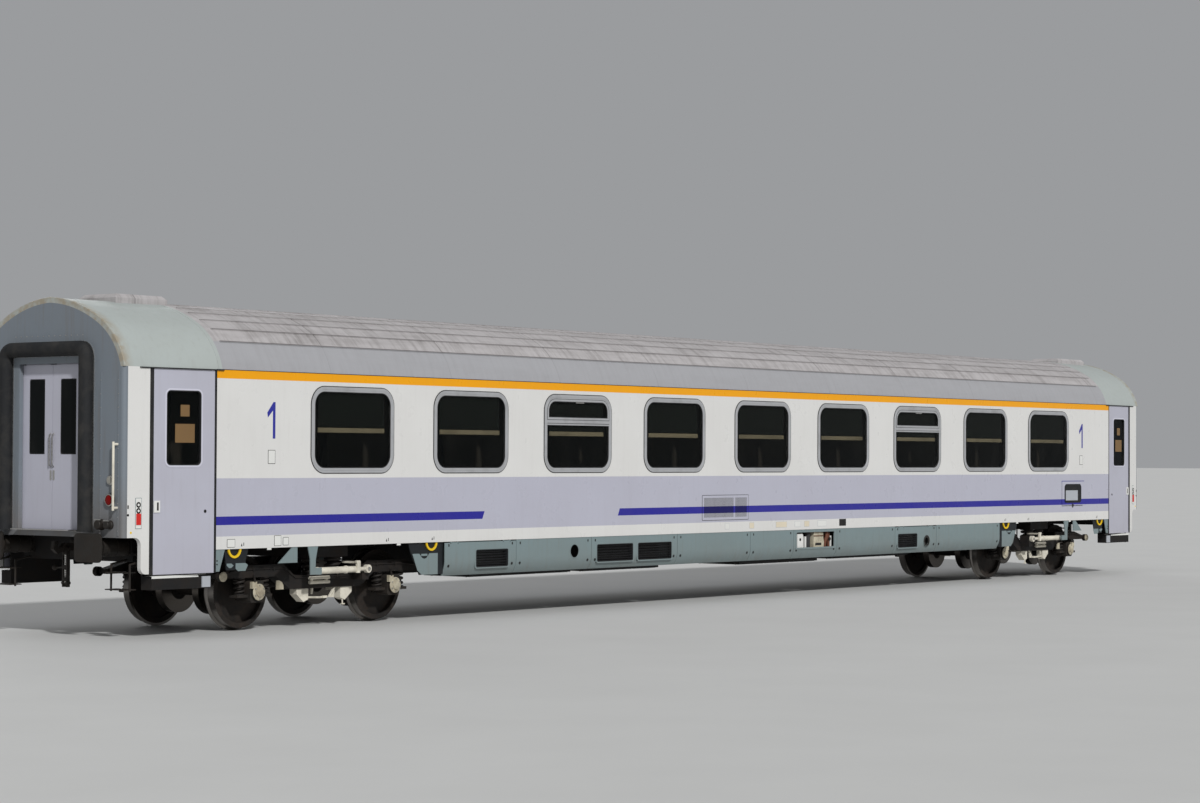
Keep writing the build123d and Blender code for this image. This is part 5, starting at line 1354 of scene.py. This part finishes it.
def bogie_fittings(number):
    """Axlebox and frame covers, the yaw damper's rings and clamp, brake rods and conduits of one bogie."""
    gear = Shape("brake_gear_cream")
    place = UP @ move(-PIVOT, 0, 0) if number == 1 else UP @ move(PIVOT, 0, 0) @ turn(180, "Z")
    for at in (place, place @ flip(1, -1)):
        for axle in (-AXLE, AXLE):
            axlebox_fittings(gear, at @ move(axle, 0, 0))
        cap = [(0, 0), (0.062, 0), (0.062, 0.010), (0.052, 0.020), (0, 0.024)]
        for x in (-1.865, 1.865):
            gear.lathe(cap, at @ out_of_side(x, AXLEBOX_FACE, FRAME_TUBE_HEIGHT), 24, "cover_cream")
            tube = [(x, y, FRAME_TUBE_HEIGHT) for y in (SIDE_FRAME_FACE, AXLEBOX_FACE - 0.002)]
            gear.tube(tube, 0.050, (0, 0, 1), at, "bogie_black", 16)
        # The yaw damper's rings by x, radius and width, its sleeve, clamp and end bolts
        for x, radius, width in ((-0.400, 0.048, 0.030), (-0.020, 0.046, 0.012), (0.120, 0.050, 0.034)):
            ring = [(0.030, 0), (radius - 0.003, 0), (radius, 0.004)]
            ring += [(radius, width - 0.004), (radius - 0.003, width), (0.030, width)]
            gear.lathe(ring, at @ out_of_end(x, DAMPER_ACROSS, DAMPER_HEIGHT), 24)
        sleeve = [(0.026, 0), (0.040, 0.002), (0.040, 0.165), (0.026, 0.167)]
        gear.lathe(sleeve, at @ out_of_end(0.154, DAMPER_ACROSS, DAMPER_HEIGHT), 24)
        gear.plate(CLAMP, 0.030, at @ move(0, DAMPER_ACROSS - 0.052, 0))
        gear.block((0.300, DAMPER_ACROSS - 0.050, 0.775), (0.345, SIDE_FRAME_FACE, 0.800), at)
        for x, y in ((0.540, -1.333), (-0.450, -1.323)):
            gear.stud((0.026, 0.026, 0.010, 0.012), at @ out_of_side(x, y, DAMPER_HEIGHT), 6, "bright_steel")
        # Brake rods, levers and safety bracket between the hangers
        rod = [(x, BRAKE_ROD, z) for x, z in ((-0.300, 0.355), (-0.060, 0.345), (0.060, 0.350))]
        gear.tube(rod, 0.014, (0, -1, 0), at)
        for lever in LEVERS:
            gear.plate(lever, 0.020, at @ move(0, -1.058, 0))
        gear.tube([(0.345, -1.045, 0.305), (0.350, -1.045, 0.250)], 0.010, (0, -1, 0), at)
        gear.block((0.325, -1.060, 0.240), (0.380, -1.030, 0.254), at)
        # The small rounded guard between the front wheel and the hangers
        guard = [(-0.900, 0.475), (-0.770, 0.475), (-0.775, 0.530), (-0.800, 0.565), (-0.850, 0.590)]
        gear.plate(guard + [(-0.895, 0.590)], 0.012, at @ move(0, -1.094, 0), "cover_cream")
        # Conduits along the side frame with their clips
        half_run = [(0.560, 0.615), (0.760, 0.742), (1.450, 0.742), (1.700, 0.715)]
        run = [(-x, CONDUIT, z) for x, z in reversed(half_run)] + [(x, CONDUIT, z) for x, z in half_run]
        gear.tube(run, 0.010, (0, -1, 0), at, "bogie_black")
        for distance, z in ((1.30, 0.742), (0.95, 0.742), (0.20, 0.615)):
            for x in (-distance, distance):
                low, high = (x - 0.010, CONDUIT - 0.014, z - 0.018), (x + 0.010, CONDUIT + 0.011, z + 0.018)
                gear.block(low, high, at, "bogie_black")
    gear.make(f"bogie_fittings_{number}", f"bogie_{number}", smooth=40)


def underfloor_pipes():
    """The brake and heating pipes under the floor, with lids, ribs and latches on the equipment boxes."""
    pipes = Shape("equipment_black")
    lid_face, lid_top, rib_face = -1.188, 0.960, -1.150
    # Y, Z, radius and finish of each pipe, then start, end, inner edge and foot of each box
    runs = ((-0.12, 1.085, 0.020, None), (0.12, 1.085, 0.020, None), (0.165, 1.100, 0.012, "rusty_pipe"))
    boxes = (
        (-6.7, -4.5, 0.30, 0.52), (-4.2, -2.4, 0.25, 0.52), (-0.3, 1.9, 0.25, 0.50),
        (2.3, 4.7, 0.25, 0.52), (5.4, 6.7, 0.45, 0.60),
    )
    for y, z, radius, finish in runs:
        pipes.tube([(-12.4, y, z), (12.4, y, z)], radius, (0, 0, 1), UP, finish, 10)
    for at in SIDES:
        for start, end, inner, foot in boxes:
            count = round((end - start) / 0.7)
            for i in range(count):
                x0 = start + (end - start) * i / count + 0.03
                x1 = start + (end - start) * (i + 1) / count - 0.03
                pipes.block((x0, lid_face, foot + 0.03), (x1, lid_face + 0.012, lid_top), at)
                pipes.block((x0, rib_face, foot - 0.006), (x1, -inner - 0.03, foot), at)
                for x in (x0 + 0.06, x1 - 0.06):
                    latch = at @ out_of_side(x, lid_face, foot + 0.10)
                    pipes.stud((0.014, 0.010, 0.010, 0.010), latch, 8, "bright_steel")
                    for y in (-1.05, -inner - 0.12):
                        bolt = at @ move(x, y, foot - 0.006) @ turn(180, "X")
                        pipes.stud((0.012, 0.012, 0.008, 0.008), bolt, 6, "bright_steel")
    pipes.make("underfloor_pipes")


def rounded_box(size, corner, cuts):
    """A box with an even grid on its faces and rounded edges, centred on the origin."""
    work = bmesh.new()
    bmesh.ops.create_cube(work, size=1)
    bmesh.ops.subdivide_edges(work, edges=work.edges[:], cuts=cuts, use_grid_fill=True)
    half = Vector(size) / 2
    for vertex in work.verts:
        place = Vector(2 * a * b for a, b in zip(vertex.co, half))
        core = Vector(max(-(h - corner), min(h - corner, p)) for p, h in zip(place, half))
        out = place - core
        vertex.co = core + out.normalized() * corner if out.length else place
    mesh = bpy.data.meshes.new("form")
    work.to_mesh(mesh)
    work.free()
    return mesh


def swollen(mesh, cap, frames=14):
    """Swells a closed form by cloth under pressure, with no point moved further than cap."""
    scene = bpy.context.scene
    piece = linked("swelling", mesh)
    soft = piece.modifiers.new("cloth", "CLOTH")
    soft.settings.use_pressure = True
    soft.settings.uniform_pressure_force = 4
    soft.settings.effector_weights.gravity = 0
    soft.point_cache.frame_start = 1
    soft.point_cache.frame_end = frames
    for step in range(1, frames + 1):
        scene.frame_set(step)
    graph = bpy.context.evaluated_depsgraph_get()
    ends = [point.co.copy() for point in piece.evaluated_get(graph).data.vertices]
    ways = [end - point.co for point, end in zip(mesh.vertices, ends)]
    share = min(1.0, cap / max(way.length for way in ways))
    for point, way in zip(mesh.vertices, ways):
        point.co += way * share
    bpy.data.objects.remove(piece)
    scene.frame_set(1)


def pad_form(size, corner, cuts, cap, across=(), along=()):
    """A swollen pad's points and faces, with sewn channels pressed into its outer face at these places."""
    mesh = rounded_box(size, corner, cuts)
    swollen(mesh, cap)
    points = []
    for vertex in mesh.vertices:
        x, y, z = vertex.co
        gaps = [y - place for place in across] + [x - place for place in along]
        press = max((math.exp(-(gap / CHANNEL_WIDTH) ** 2) for gap in gaps), default=0.0)
        points.append((x, y, z - CHANNEL_DEPTH * press if z > 0 else z))
    faces = [tuple(face.vertices) for face in mesh.polygons]
    bpy.data.meshes.remove(mesh)
    return points, faces


def bench_shell(shell, at, pitch):
    """The plinth, the shell behind the backs and the armrests of one bench."""
    long = SEAT_END - SEAT_START
    plinth = [(0.010, 0.002), (0.430, 0.002), (0.470, 0.270), (0.010, 0.290)]
    shell.plate(plinth, long - 0.060, at @ move(0, SEAT_START + 0.030, 0))
    rear = [(0.002, 0.280), (0.085, 0.280), (0.070, 0.700), (0.050, 1.120), (0.030, 1.150), (0.002, 1.155)]
    shell.plate(rear, long - 0.040, at @ move(0, SEAT_START + 0.020, 0))
    arm = rounded_loop(0.400, 0.048, 0.020, 4)
    for i in range(SEATS_PER_BENCH + 1):
        y = min(max(SEAT_START + i * pitch, SEAT_START + 0.035), SEAT_END - 0.035)
        shell.plate(arm, 0.058, at @ move(0.310, y - 0.029, 0.620), "arm_dark")
        strut = [(0.480, y, 0.610), (0.470, y, 0.450), (0.430, y, 0.300)]
        shell.tube(strut, 0.012, (0, 1, 0), at, "bright_steel")


def benches():
    """Three seats in a row on both sides of every compartment, with padded seats, backs and headrests."""
    # Size, corner, cuts, furthest swelling and channels of each pad, which is formed lying flat with its
    # outer face up. The seat's front edge and the foot of the back and the headrest are at +X.
    seat = pad_form((0.440, 0.535, 0.110), 0.038, 13, 0.016, (-0.165, 0.165), (0.120,))
    back = pad_form((0.600, 0.520, 0.070), 0.030, 13, 0.012, (-0.150, 0.150), (-0.170, 0.090))
    head = pad_form((0.190, 0.360, 0.050), 0.022, 9, 0.010)
    rows = {
        "seats": [(seat, move(0.370, 0, 0.352) @ turn(-6, "Y"))],
        "backs": [
            (back, move(0.118, 0, 0.730) @ turn(BACK_LEAN, "Y")),
            (head, move(0.100, 0, 1.050) @ turn(BACK_LEAN, "Y")),
        ],
    }
    pitch = (SEAT_END - SEAT_START) / SEATS_PER_BENCH
    shell = Shape("shell_grey")
    walls = []
    for start, end in zip(CROSS_WALLS, CROSS_WALLS[1:]):
        walls += [(start + 0.015, 1), (end - 0.015, -1)]
    for number, (wall, facing) in enumerate(walls, 1):
        at = UP @ move(wall, 0, FLOOR) @ flip(facing, 1)
        for name, forms in rows.items():
            pads = Shape("seat_cloth")
            for i in range(SEATS_PER_BENCH):
                for (points, faces), placed in forms:
                    pads.add(points, faces, at @ move(0, SEAT_START + (i + 0.5) * pitch, 0) @ placed)
            piece = pads.make(f"bench_{number}_{name}", smooth=180)
            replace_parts(piece, "seats")
        bench_shell(shell, at, pitch)
    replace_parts(shell.make("bench_shells"), "seats")


make_camera()
make_stage()
window_trims()
blinds()
door_trims()
numeral()
sill_plates()
louvre()
roof_beads()
gangway_bellows()
end_door_fittings()
lamp_lenses()
end_wall_details()
coupling_screws()
skirt_fittings()
inspection_gear()
fairing_plates()
for number in (1, 2):
    coil_springs(number)
    bogie_fittings(number)
underfloor_pipes()
benches()
